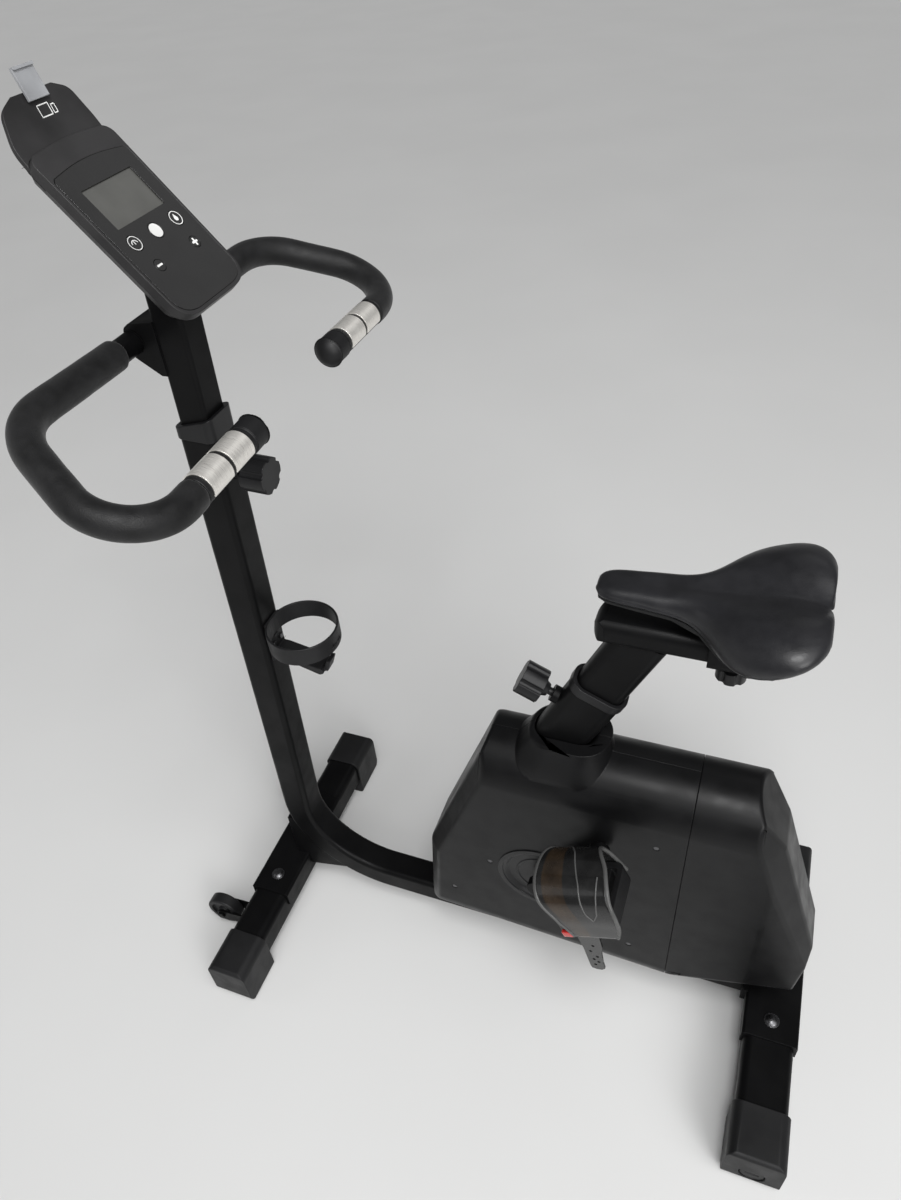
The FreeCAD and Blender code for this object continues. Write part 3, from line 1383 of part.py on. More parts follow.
def all_pieces():
    """Every sub-part by its node name: a shape, or a list of separate shapes."""
    pieces = {
        "main_frame": main_frame(),
        "seat_tube": seat_tube(),
        "frame_post": frame_post(),
        "stabilizer_cradles": stabilizer_cradles(),
        "front_stabilizer": stabilizer(0, FRONT_W, FRONT_HALF),
        "rear_stabilizer": stabilizer(REAR_X, REAR_W, REAR_HALF),
        "end_caps": end_caps(),
        "stabilizer_bolts": stabilizer_bolts(),
        "wheel_brackets": wheel_brackets(),
        "mast_collar": mast_collar(),
        "seat_collar": seat_collar(),
        "crank_covers": both_sides(crank_cover()),
        "cover_screws": cover_screws(),
        "bearings": bearings(),
        "flywheel_mount": flywheel_mount(),
        "idler_arm": idler_arm(),
        "drive_belt": drive_belt(),
        "brake_servo": brake_servo(),
        "bottle_holder": bottle_holder(),
        "crank_axle": crank_axle(),
        "drive_pulley": drive_pulley(),
        "crank_left": crank_left(),
        "crank_right": crank_right(),
        "flywheel": flywheel(),
        "flywheel_pulley": flywheel_pulley(),
        "idler_pulley": idler_pulley(),
        "magnet_arm": magnet_arm(),
        "upper_mast": upper_mast(),
        "handlebar": handlebar(),
        "grips": grips(),
        "sensor_sleeves": both_sides(sensor_sleeve()),
        "pulse_plates": pulse_plates(),
        "console_back": console_back(),
        "console_front": console_front(),
        "console_window": console_window(),
        "display_board": display_board(),
        "tablet_clip": tablet_clip(),
        "mast_knob": mast_knob(),
        "seat_knob": seat_knob(),
        "slide_knob": slide_knob(),
        "seat_post": seat_post(),
        "seat_carriage": seat_carriage(),
        "saddle_pan": saddle_pan(),
        "saddle": saddle(),
        "wheel_left": wheel(WHEEL_Y),
        "wheel_right": wheel(-WHEEL_Y),
        "leveller_left": leveller(),
        "leveller_right": mirrored(leveller()),
    }
    pieces.update(housing_parts())
    pieces.update(pedal_pieces())
    for name, (x, y, radius) in KEYS.items():
        pieces[name] = key(x, y, radius)
    return pieces


def write_parts():
    os.makedirs("parts", exist_ok=True)
    whole = None
    for name, shape in all_pieces().items():
        if isinstance(shape, list):
            shape = group(shape)
        shape.translate(V(SHIFT_X, 0, 0))
        shape.exportStep(os.path.join("parts", name + ".step"))
        solids = len(shape.Solids)
        print(name, "solids", solids, "valid", shape.isValid(), "volume", round(shape.Volume))
        box = shape.BoundBox
        if whole is None:
            whole = FreeCAD.BoundBox(box)
        whole.add(box)
    print("box", whole)


write_parts()
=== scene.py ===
import json
import math

import bmesh
import bpy
from mathutils import Matrix, Vector, noise as lumps


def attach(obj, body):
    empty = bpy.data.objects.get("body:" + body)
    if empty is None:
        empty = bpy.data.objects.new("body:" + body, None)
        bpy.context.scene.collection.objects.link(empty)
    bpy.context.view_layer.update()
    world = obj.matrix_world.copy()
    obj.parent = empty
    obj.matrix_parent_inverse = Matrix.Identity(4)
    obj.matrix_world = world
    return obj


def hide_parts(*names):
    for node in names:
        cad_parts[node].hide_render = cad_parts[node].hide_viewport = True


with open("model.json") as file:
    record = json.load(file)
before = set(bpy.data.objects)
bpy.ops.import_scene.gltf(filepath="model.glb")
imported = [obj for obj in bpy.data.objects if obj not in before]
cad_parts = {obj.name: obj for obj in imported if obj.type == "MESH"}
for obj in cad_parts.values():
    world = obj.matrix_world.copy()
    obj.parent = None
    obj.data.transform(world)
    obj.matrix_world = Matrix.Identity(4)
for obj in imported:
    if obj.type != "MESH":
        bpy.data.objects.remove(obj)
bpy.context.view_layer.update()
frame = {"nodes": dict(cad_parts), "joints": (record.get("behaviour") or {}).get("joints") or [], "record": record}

# Looks of an upright exercise bike, in the row frame: metres, +X ahead of the rider, +Y the rider's
# left, +Z up. The part's own layout has X = 0 over the front foot, and place() takes its millimetres.

MM = 0.001
MOUNTS = {mount["name"]: mount for mount in frame["record"]["mounts"]}
JOINTS = {joint["name"]: joint for joint in frame["joints"]}
FRONT_FOOT_X = MOUNTS["floor"]["pos_m"][0]


def place(x, y, z):
    """A point of the part's layout, in millimetres, as a point of the row frame."""
    return Vector((x * MM + FRONT_FOOT_X, y * MM, z * MM))


# ---------------------------------------------------------------- camera and lights
CAMERA_AT = Vector((-0.2911, 0.7093, 1.4351))
CAMERA_RIGHT = Vector((-0.93598, -0.34404, -0.07465))
CAMERA_AHEAD = Vector((0.30405, -0.68312, -0.66400))
LENS = 26.5              # millimetres
SENSOR = 36.0            # millimetres
CLIP_NEAR = 0.05
CLIP_FAR = 60.0
FLOOR_HALF = 20.0
FLOOR_WHITE = (0.66, 0.66, 0.655)
WORLD_GREY = (0.83, 0.84, 0.85)
WORLD_LIGHT = 0.14
SUN_AT = (-0.55, 0.70, 1.0)
SUN_STRENGTH = 2.3
SUN_ANGLE = math.radians(70)

# name, place, target, width, height, watts
LIGHTS = (
    ("window", (-2.0, 2.1, 1.75), (-0.2, 0.0, 0.6), 1.2, 1.2, 34.0),
    ("overhead", (-0.5, 0.95, 2.6), (-0.35, 0.0, 0.5), 0.6, 0.6, 24.0),
    ("front_fill", (2.6, 1.2, 1.6), (0.0, 0.0, 0.7), 1.6, 1.6, 5.0),
    ("back_fill", (-0.7, -2.0, 2.7), (-0.2, 0.0, 0.6), 1.3, 1.3, 2.5),
)


def make_camera():
    """The camera, from its place, its right hand and the way it looks."""
    data = bpy.data.cameras.new("camera")
    data.lens = LENS
    data.sensor_width = SENSOR
    data.clip_start = CLIP_NEAR
    data.clip_end = CLIP_FAR
    camera = bpy.data.objects.new("camera", data)
    bpy.context.scene.collection.objects.link(camera)
    ahead = CAMERA_AHEAD.normalized()
    right = CAMERA_RIGHT.normalized()
    up = right.cross(ahead)
    turn = Matrix((right, up, -ahead)).transposed()
    camera.matrix_world = Matrix.Translation(CAMERA_AT) @ turn.to_4x4()
    bpy.context.scene.camera = camera


def make_lights():
    """Area lights, each turned to its target."""
    for name, at, target, width, height, watts in LIGHTS:
        data = bpy.data.lights.new(name, "AREA")
        data.shape = "RECTANGLE"
        data.size = width
        data.size_y = height
        data.energy = watts
        light = bpy.data.objects.new(name, data)
        bpy.context.scene.collection.objects.link(light)
        light.location = at
        way = Vector(target) - Vector(at)
        light.rotation_euler = way.to_track_quat("-Z", "Y").to_euler()


def make_sun():
    """Even light over the whole floor, from the same side as the window."""
    data = bpy.data.lights.new("sun", "SUN")
    data.energy = SUN_STRENGTH
    data.angle = SUN_ANGLE
    sun = bpy.data.objects.new("sun", data)
    bpy.context.scene.collection.objects.link(sun)
    sun.rotation_euler = (-Vector(SUN_AT)).to_track_quat("-Z", "Y").to_euler()


def make_world():
    """Dim grey surroundings, shown in plain sRGB."""
    world = bpy.data.worlds.new("studio")
    world.use_nodes = True
    background = world.node_tree.nodes["Background"]
    background.inputs["Color"].default_value = (*WORLD_GREY, 1)
    background.inputs["Strength"].default_value = WORLD_LIGHT
    bpy.context.scene.world = world
    bpy.context.scene.view_settings.view_transform = "Standard"


# ---------------------------------------------------------------- material building blocks
NOISE_BAND = (0.35, 0.65)    # the part of a noise's 0 to 1 that it mostly fills


def new_material(name, base, rough, metallic=0.0, **sockets):
    """A material with one Principled shader. Other constants go by socket name, _ for a space."""
    made = bpy.data.materials.new(name)
    made.use_nodes = True
    shader = made.node_tree.nodes["Principled BSDF"]
    shader.inputs["Base Color"].default_value = (*base, 1)
    shader.inputs["Roughness"].default_value = rough
    shader.inputs["Metallic"].default_value = metallic
    for socket, value in sockets.items():
        shader.inputs[socket.replace("_", " ")].default_value = value
    return made


def node_of(made, kind, **settings):
    """A new shader node with its own settings."""
    node = made.node_tree.nodes.new(kind)
    for key, value in settings.items():
        setattr(node, key, value)
    return node


def link(made, start, end):
    """Joins one node's output to another's input."""
    made.node_tree.links.new(start, end)


def coordinates(made, stretch=(1, 1, 1)):
    """Object coordinates, stretched, which don't slide over a moving piece."""
    source = node_of(made, "ShaderNodeTexCoord")
    mapping = node_of(made, "ShaderNodeMapping")
    mapping.inputs["Scale"].default_value = stretch
    link(made, source.outputs["Object"], mapping.inputs["Vector"])
    return mapping.outputs["Vector"]


def noise(made, size, detail=3.0, stretch=(1, 1, 1), rough=0.5):
    """Soft noise whose features are about size metres across."""
    node = node_of(made, "ShaderNodeTexNoise")
    node.inputs["Scale"].default_value = 1 / size
    node.inputs["Detail"].default_value = detail
    node.inputs["Roughness"].default_value = rough
    link(made, coordinates(made, stretch), node.inputs["Vector"])
    return node.outputs["Fac"]


def cells(made, size, feature="F1", randomness=1.0):
    """Cells about size metres across: F1 for domes, DISTANCE_TO_EDGE for creases between them."""
    node = node_of(made, "ShaderNodeTexVoronoi", feature=feature)
    node.inputs["Scale"].default_value = 1 / size
    node.inputs["Randomness"].default_value = randomness
    link(made, coordinates(made), node.inputs["Vector"])
    return node.outputs["Distance"]


def spread(made, value, low, high):
    """Maps a noise to numbers from low to high."""
    node = node_of(made, "ShaderNodeMapRange")
    node.inputs["From Min"].default_value = NOISE_BAND[0]
    node.inputs["From Max"].default_value = NOISE_BAND[1]
    node.inputs["To Min"].default_value = low
    node.inputs["To Max"].default_value = high
    link(made, value, node.inputs["Value"])
    return node.outputs["Result"]


def tint(made, value, low, high, span=NOISE_BAND):
    """Colours the surface from low to high as a pattern goes over its span."""
    ramp = node_of(made, "ShaderNodeValToRGB")
    ramp.color_ramp.elements[0].position = span[0]
    ramp.color_ramp.elements[0].color = (*low, 1)
    ramp.color_ramp.elements[1].position = span[1]
    ramp.color_ramp.elements[1].color = (*high, 1)
    link(made, value, ramp.inputs["Fac"])
    shader = made.node_tree.nodes["Principled BSDF"]
    link(made, ramp.outputs["Color"], shader.inputs["Base Color"])


def roughen(made, value, low, high):
    """Varies the roughness from low to high by a noise."""
    shader = made.node_tree.nodes["Principled BSDF"]
    link(made, spread(made, value, low, high), shader.inputs["Roughness"])


def relief(made, *layers):
    """Stacks bump layers. Each is (pattern, depth in metres, strength)."""
    before = None
    for value, depth, strength in layers:
        bump = node_of(made, "ShaderNodeBump")
        bump.inputs["Distance"].default_value = depth
        bump.inputs["Strength"].default_value = strength
        link(made, value, bump.inputs["Height"])
        if before is not None:
            link(made, before, bump.inputs["Normal"])
        before = bump.outputs["Normal"]
    shader = made.node_tree.nodes["Principled BSDF"]
    link(made, before, shader.inputs["Normal"])


def scaled(colour, factor):
    """A lighter or darker colour of the same hue."""
    return tuple(min(1.0, part * factor) for part in colour)


# ---------------------------------------------------------------- materials


def powder_coat(name, base):
    """Baked paint: a fine orange peel, with faint clouds of handling in its gloss."""
    made = new_material(name, base, 0.4, Specular_IOR_Level=0.08,
                        Coat_Weight=0.05, Coat_Roughness=0.3)
    clouds = noise(made, 0.09, 4)
    tint(made, clouds, scaled(base, 0.8), scaled(base, 1.35))
    roughen(made, noise(made, 0.03, 5), 0.34, 0.48)
    relief(made, (noise(made, 0.0011, 1), 0.00012, 0.35), (noise(made, 0.012, 2), 0.0003, 0.08))
    return made


def moulded(name, base, rough, grain=0.0006, depth=0.0001, clouds=1.3):
    """Injection moulded plastic with an eroded texture and uneven sheen."""
    made = new_material(name, base, rough, Specular_IOR_Level=0.26)
    patches = noise(made, 0.07, 4)
    tint(made, patches, scaled(base, 1 / clouds), scaled(base, clouds))
    roughen(made, noise(made, 0.025, 5), rough - 0.05, rough + 0.06)
    relief(made, (noise(made, grain, 2, rough=0.7), depth, 0.4))
    return made


def housing_plastic():
    """Satin covers: fine texture and long faint waves from the mould."""
    base = (0.0040, 0.0040, 0.0043)
    made = new_material("housing_plastic", base, 0.32, Specular_IOR_Level=0.17)
    tint(made, noise(made, 0.12, 4), scaled(base, 0.82), scaled(base, 1.3))
    roughen(made, noise(made, 0.03, 6), 0.31, 0.43)
    waves = noise(made, 0.05, 1, stretch=(1, 1, 0.4))
    relief(made, (waves, 0.0009, 0.12), (noise(made, 0.0008, 2, rough=0.7), 0.00009, 0.3))
    return made


def foam_rubber():
    """Closed-cell foam with a soft skin."""
    base = (0.0065, 0.0065, 0.0068)
    made = new_material("foam", base, 0.5, Specular_IOR_Level=0.22,
                        Sheen_Weight=0.08, Sheen_Roughness=0.5)
    tint(made, noise(made, 0.02, 5), scaled(base, 0.75), scaled(base, 1.4))
    roughen(made, noise(made, 0.01, 4), 0.44, 0.58)
    pores = cells(made, 0.0011)
    relief(made, (noise(made, 0.006, 3), 0.0006, 0.2), (pores, 0.0003, 0.45))
    return made


def vinyl():
    """Soft cover with a pebbled leather grain."""
    base = (0.011, 0.011, 0.0125)
    made = new_material("saddle_vinyl", base, 0.34, Specular_IOR_Level=0.34,
                        Coat_Weight=0.1, Coat_Roughness=0.35)
    tint(made, noise(made, 0.04, 4), scaled(base, 0.85), scaled(base, 1.25))
    roughen(made, noise(made, 0.02, 5), 0.31, 0.43)
    pebbles = cells(made, 0.0018, "DISTANCE_TO_EDGE")
    relief(made, (noise(made, 0.018, 2), 0.0006, 0.12), (pebbles, 0.0004, 0.30))
    return made


def bright_metal(name, base, rough, stretch=(1, 1, 1), metallic=1.0):
    """Plated or machined metal with fine drawn lines."""
    made = new_material(name, base, rough, metallic)
    lines = noise(made, 0.002, 6, stretch=stretch)
    tint(made, lines, scaled(base, 0.85), scaled(base, 1.1))
    roughen(made, lines, rough * 0.8, rough * 1.3)
    relief(made, (lines, 0.00005, 0.3))
    return made


def console_gloss(name):
    """Smooth window and keys: satin gloss with the faintest waviness."""
    base = (0.0095, 0.0093, 0.0094)
    made = new_material(name, base, 0.2, Specular_IOR_Level=0.4,
                        Coat_Weight=0.2, Coat_Roughness=0.12)
    roughen(made, noise(made, 0.03, 5), 0.17, 0.26)
    relief(made, (noise(made, 0.03, 2), 0.0004, 0.05))
    return made


def display_glass():
    """Unlit reflective display: pale grey, with a fine dot matrix behind it."""
    base = (0.062, 0.062, 0.057)
    made = new_material("display", base, 0.28, Coat_Weight=0.6, Coat_Roughness=0.05)
    tint(made, noise(made, 0.03, 3), scaled(base, 0.9), scaled(base, 1.08))
    relief(made, (cells(made, 0.0008, randomness=0.0), 0.00005, 0.15))
    return made


def strap_plastic(name, base):
    """Soft smoked plastic with a wet sheen."""
    made = new_material(name, base, 0.22, Transmission_Weight=0.1, IOR=1.5, Coat_Weight=0.3)
    tint(made, noise(made, 0.02, 4), scaled(base, 0.7), scaled(base, 1.4))
    roughen(made, noise(made, 0.015, 5), 0.17, 0.3)
    relief(made, (noise(made, 0.012, 3), 0.0006, 0.12))
    return made


def reflector_red():
    """Clear red plastic over a grid of corner prisms."""
    made = new_material("reflector", (0.42, 0.015, 0.012), 0.22,
                        Coat_Weight=0.6, Coat_Roughness=0.08)
    prisms = cells(made, 0.0022, randomness=0.0)
    tint(made, prisms, (0.5, 0.02, 0.015), (0.2, 0.006, 0.005), (0.2, 0.8))
    relief(made, (prisms, 0.0004, 0.5))
    return made


def floor_material():
    """Matt white studio floor, faintly uneven."""
    made = new_material("floor", FLOOR_WHITE, 0.75)
    tint(made, noise(made, 0.6, 3), scaled(FLOOR_WHITE, 0.985), scaled(FLOOR_WHITE, 1.01))
    return made


def all_materials():
    """Every finish by its slot's name, and the finishes of the remade pieces."""
    black = (0.0030, 0.0030, 0.0032)
    dark = (0.008, 0.008, 0.0085)
    return {
        "frame_paint": powder_coat("frame_paint", black),
        "crank_paint": powder_coat("crank_paint", scaled(black, 1.1)),
        "housing_plastic": housing_plastic(),
        "foot_plastic": moulded("foot_plastic", dark, 0.5, 0.0008, 0.00018),
        "trim_plastic": moulded("trim_plastic", (0.007, 0.007, 0.0075), 0.34),
        "pedal_plastic": moulded("pedal_plastic", dark, 0.48, 0.0008, 0.00015),
        "wheel_plastic": moulded("wheel_plastic", dark, 0.45),
        "console_shell": moulded("console_shell", (0.022, 0.0215, 0.022), 0.44, 0.0005, 0.00012),
        "clip_plastic": moulded("clip_plastic", (0.24, 0.245, 0.255), 0.35),
        "key_plastic": console_gloss("key_plastic"),
        "belt_rubber": moulded("belt_rubber", (0.01, 0.01, 0.01), 0.7),
        "console_gloss": console_gloss("console_gloss"),
        "display": display_glass(),
        "strap_plastic": strap_plastic("strap_plastic", (0.011, 0.011, 0.011)),
        "foam": foam_rubber(),
        "saddle_cover": vinyl(),
        "plated_steel": bright_metal("plated_steel", (0.12, 0.12, 0.125), 0.3),
        "contact_steel": bright_metal("contact_steel", (0.93, 0.89, 0.84), 0.34,
                                      stretch=(0.2, 6, 0.2), metallic=0.75),
        "bearing_steel": bright_metal("bearing_steel", (0.5, 0.5, 0.51), 0.3),
        "cast": bright_metal("cast", (0.25, 0.25, 0.26), 0.45),
        "alloy": bright_metal("alloy", (0.55, 0.55, 0.56), 0.38),
        "print_white": moulded("print_white", (0.62, 0.62, 0.61), 0.5),
        # paler grey of the strap's rims and moulded U: a painted highlight along the dark strap's edges
        "strap_rim_highlight": moulded("strap_rim_highlight", (0.075, 0.075, 0.074), 0.25, 0.002, 0.00003),
        "strap_brown": strap_plastic("strap_brown", (0.026, 0.0175, 0.011)),
        "reflector": reflector_red(),
        "magnet_steel": bright_metal("magnet_steel", (0.4, 0.4, 0.41), 0.32),
    }


# ---------------------------------------------------------------- the CAD pieces
NODE_SLOT = {part["node"]: part["material_slot"] for part in frame["record"]["subparts"]}
BODIES = frame["record"]["behaviour"]["bodies"]
BODY_OF = {node: body for body, nodes in BODIES.items() for node in nodes}
WELD_GAP = 1e-6          # metres
FLAT_ANGLE = math.radians(0.3)
BEVEL_ANGLE = math.radians(28)
FLAT_SHARE = 60          # how much more large faces say in the shading
BEVELS = {               # rounding of a slot's hard edges, millimetres
    "frame_paint": 0.5, "foot_plastic": 1.2, "trim_plastic": 0.8, "crank_paint": 1.2,
    "pedal_plastic": 1.0, "wheel_plastic": 0.8, "console_shell": 0.8, "clip_plastic": 0.6,
    "key_plastic": 0.25, "strap_plastic": 0.7, "housing_plastic": 0.8, "plated_steel": 0.5,
    "contact_steel": 0.3, "console_gloss": 0.25,
}


def joined_corners(piece):
    """Modifiers that join a CAD mesh's loose corners and merge its flat triangles."""
    weld = piece.modifiers.new("weld", "WELD")
    weld.merge_threshold = WELD_GAP
    flat = piece.modifiers.new("flat", "DECIMATE")
    flat.decimate_type = "DISSOLVE"
    flat.angle_limit = FLAT_ANGLE


def bevelled(piece, width, segments, method):
    """Modifiers that round edges, chosen by angle or by weight, and shade faces flat up to them."""
    bevel = piece.modifiers.new("bevel", "BEVEL")
    bevel.width = width * MM
    bevel.segments = segments
    bevel.limit_method = method
    bevel.angle_limit = BEVEL_ANGLE
    bevel.use_clamp_overlap = False
    bevel.miter_outer = "MITER_ARC"
    shade = piece.modifiers.new("shade", "WEIGHTED_NORMAL")
    shade.keep_sharp = False
    shade.weight = FLAT_SHARE


def dress_nodes(looks):
    """Finish and rounded edges for each CAD node, by its slot."""
    for name, node in frame["nodes"].items():
        slot = NODE_SLOT[name]
        for holder in node.material_slots:
            holder.material = looks[slot]
        if slot in BEVELS:
            joined_corners(node)
            bevelled(node, BEVELS[slot], 3, "ANGLE")


def new_piece(name, mesh, body, look, smooth=True):
    """A piece of our own, riding on a body and taking a slot's finish."""
    piece = bpy.data.objects.new(name, mesh)
    bpy.context.scene.collection.objects.link(piece)
    mesh.materials.clear()
    mesh.materials.append(look)
    for face in mesh.polygons:
        face.use_smooth = smooth
    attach(piece, body)
    return piece


def mesh_of(name, bm):
    """A bmesh's content as a new mesh; the bmesh is let go."""
    mesh = bpy.data.meshes.new(name)
    bm.to_mesh(mesh)
    bm.free()
    return mesh


def applied(piece):
    """The piece's mesh with its modifiers worked in; the modifiers are taken off."""
    depsgraph = bpy.context.evaluated_depsgraph_get()
    mesh = bpy.data.meshes.new_from_object(piece.evaluated_get(depsgraph))
    piece.modifiers.clear()
    piece.data = mesh
    return mesh


def remeshed(name, node, look, voxel, rounds, subdivide):
    """A soft copy of a CAD solid: even quads, edges relaxed, then subdivided."""
    piece = new_piece(name, frame["nodes"][node].data.copy(), BODY_OF[node], look)
    grid = piece.modifiers.new("grid", "REMESH")
    grid.mode = "VOXEL"
    grid.voxel_size = voxel * MM
    grid.use_smooth_shade = True
    relax = piece.modifiers.new("relax", "SMOOTH")
    relax.factor = 0.5
    relax.iterations = rounds
    if subdivide:
        finer = piece.modifiers.new("finer", "SUBSURF")
        finer.levels = subdivide
        finer.render_levels = subdivide
    applied(piece)
    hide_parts(node)
    return piece


# ---------------------------------------------------------------- saddle and grips
CREASE_START = -610.0    # the channel fades in from here to the rear, over CREASE_FADE
CREASE_FADE = 40.0
CREASE_DEEP = 0.9
CREASE_WIDE = 7.0
SLICE = 4                # length of the slices in which the lower edge is found
WELT_RISE = 7.0          # height of the welt above the cushion's lower edge
WELT_DEEP = 0.9
WELT_WIDE = 1.5
GROOVE_RISE = 10.2       # the groove over the welt
GROOVE_DEEP = 0.8
GROOVE_WIDE = 1.3
STEEP_SHARE = 1.6        # how soon a face stops being a side as it turns up or down
WAVES = (0.35, 28.0)     # of the cushion's top: height in millimetres, lumps to the metre
LUMPS = (0.25, 45.0)     # of the grips


def bump_at(value, middle, width):
    """Smooth bump of height 1 round the middle."""
    return math.exp(-((value - middle) / width) ** 2)


def lower_edge(mesh):
    """Lowest height of the cushion at each slice of x, in millimetres of the layout."""
    lows = {}
    for vertex in mesh.vertices:
        key = round((vertex.co.x - FRONT_FOOT_X) / MM / SLICE)
        lows[key] = min(lows.get(key, math.inf), vertex.co.z / MM)
    return lows


def make_saddle(look):
    """Moulded cushion: crowned wings, a creased channel, a welt near its lower edge, soft waves."""
    saddle = remeshed("saddle_cushion", "saddle", look,
                      voxel=2.2, rounds=14, subdivide=1)
    mesh = saddle.data
    lows = lower_edge(mesh)
    normals = [Vector(vertex.normal) for vertex in mesh.vertices]
    for vertex, normal in zip(mesh.vertices, normals):
        x = (vertex.co.x - FRONT_FOOT_X) / MM
        y = vertex.co.y / MM
        rise = vertex.co.z / MM - lows[round(x / SLICE)]
        side = 1 - min(1.0, abs(normal.z) * STEEP_SHARE)
        top = max(0.0, normal.z)
        rear = min(1.0, max(0.0, (CREASE_START - x) / CREASE_FADE))
        push = WELT_DEEP * side * bump_at(rise, WELT_RISE, WELT_WIDE)
        push -= GROOVE_DEEP * side * bump_at(rise, GROOVE_RISE, GROOVE_WIDE)
        push -= CREASE_DEEP * top * rear * bump_at(y, 0, CREASE_WIDE)
        push += WAVES[0] * lumps.noise(vertex.co * WAVES[1]) * top
        vertex.co += normal * push * MM
    mesh.update()


def make_grips(look):
    """Foam sleeves with the slight lumps of stretched foam."""
    grips = remeshed("foam_grips", "grips", look, voxel=1.8, rounds=8, subdivide=0)
    mesh = grips.data
    normals = [Vector(vertex.normal) for vertex in mesh.vertices]
    for vertex, normal in zip(mesh.vertices, normals):
        push = LUMPS[0] * lumps.noise(vertex.co * LUMPS[1])
        vertex.co += normal * push * MM
    mesh.update()


# ---------------------------------------------------------------- covers
HOUSE_ROUND = 4.5        # rounding of the outer edges, millimetres
RIM_SHARE = 0.18         # of that on the other hard edges
SOFT_EDGE = (math.radians(9), math.radians(80))
HOUSE_CORE = (-600.0, 0.0, 320.0)


def rounded_cover(node, look):
    """A cover with its moulded outer edges well rounded and its rims only broken."""
    name = "moulded_" + node
    piece = new_piece(name, frame["nodes"][node].data.copy(), BODY_OF[node], look)
    joined_corners(piece)
    mesh = applied(piece)
    core = place(*HOUSE_CORE)
    bm = bmesh.new()
    bm.from_mesh(mesh)
    weight = bm.edges.layers.float.new("bevel_weight_edge")
    for edge in bm.edges:
        if len(edge.link_faces) != 2:
            continue
        angle = edge.calc_face_angle(0)
        outer = all((face.calc_center_median() - core).dot(face.normal) > 0
                    for face in edge.link_faces)
        if outer and edge.is_convex and SOFT_EDGE[0] < angle < SOFT_EDGE[1]:
            edge[weight] = 1.0
        elif angle > BEVEL_ANGLE:
            edge[weight] = RIM_SHARE
    bm.to_mesh(mesh)
    bm.free()
    bevelled(piece, HOUSE_ROUND, 5, "WEIGHT")
    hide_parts(node)


# ---------------------------------------------------------------- console prints
FACE_X = -64.7           # the middle of the console's face
FACE_Z = 1170.5
FACE_TILT = math.radians(48.7)
PRINT_LOW = 0.08         # a print starts just under the window's face
PRINT_HIGH = 0.22
KEY_SPOTS = {            # centre on the console's face and radius
    "mode": (-34.1, -16.9, 8.0),
    "enter": (0.0, -16.9, 8.0),
    "reset": (34.1, -16.9, 8.0),
    "minus": (-30.4, -44.4, 6.0),
    "plus": (30.4, -44.4, 6.0),
}
REST_LINE = ((62.0, -8.5), (98.0, -5.0), (134.0, 9.5))    # place along the face, height out of it


def face_point(across, along, out):
    """A point on the console's face: across to the rider's right, along up the face, out of it."""
    up = (math.cos(FACE_TILT), math.sin(FACE_TILT))
    x = FACE_X + along * up[0] - out * up[1]
    z = FACE_Z + along * up[1] + out * up[0]
    return place(x, -across, z)


def rest_height(along):
    """How far the tablet rest's face stands out at this height."""
    (a, low), (b, bend), (c, high) = REST_LINE
    if along < b:
        return low + (bend - low) * (along - a) / (b - a)
    return bend + (high - bend) * (along - b) / (c - b)


def arc(centre, radius, start, stop, steps):
    """Points round a circle, in degrees anticlockwise from the right."""
    points = []
    for step in range(steps + 1):
        angle = math.radians(start + (stop - start) * step / steps)
        points.append((centre[0] + radius * math.cos(angle), centre[1] + radius * math.sin(angle)))
    return points


def band(centre, outer, inner, start, stop, steps=32):
    """Outline of part of a ring."""
    return arc(centre, outer, start, stop, steps) + arc(centre, inner, stop, start, steps)


def bar(centre, half_across, half_along):
    """Outline of a rectangle."""
    x, y = centre
    return [(x - half_across, y - half_along), (x + half_across, y - half_along),
            (x + half_across, y + half_along), (x - half_across, y + half_along)]


def frame_outline(centre, half_across, half_along, line):
    """Four thin bars round a rectangle."""
    x, y = centre
    return [bar((x, y + half_along), half_across, line), bar((x, y - half_along), half_across, line),
            bar((x - half_across, y), line, half_along), bar((x + half_across, y), line, half_along)]


def drop(centre, size):
    """A water drop, its tip up the face."""
    x, y = centre
    tip = [(x, y + size * 1.35)]
    return tip + arc((x, y - size * 0.2), size * 0.72, 160, 380, 20)


def printed(name, outlines, body, look, lift=None):
    """Thin raised prints on the console's face."""
    bm = bmesh.new()
    for points in outlines:
        rings = []
        for out in (PRINT_LOW, PRINT_HIGH):
            ring = []
            for across, along in points:
                height = out + (lift(along) if lift else 0.0)
                ring.append(bm.verts.new(face_point(across, along, height)))
            rings.append(ring)
        low, high = rings
        bm.faces.new(high)
        bm.faces.new(list(reversed(low)))
        for k in range(len(points)):
            after = (k + 1) % len(points)
            bm.faces.new((low[k], low[after], high[after], high[k]))
    bmesh.ops.recalc_face_normals(bm, faces=bm.faces)
    new_piece(name, mesh_of(name, bm), body, look, smooth=False)


def ring_halves(centre, outer, inner):
    """A whole ring as two bands, because one outline can't go all the way round."""
    return [band(centre, outer, inner, 0, 180), band(centre, outer, inner, 180, 360)]


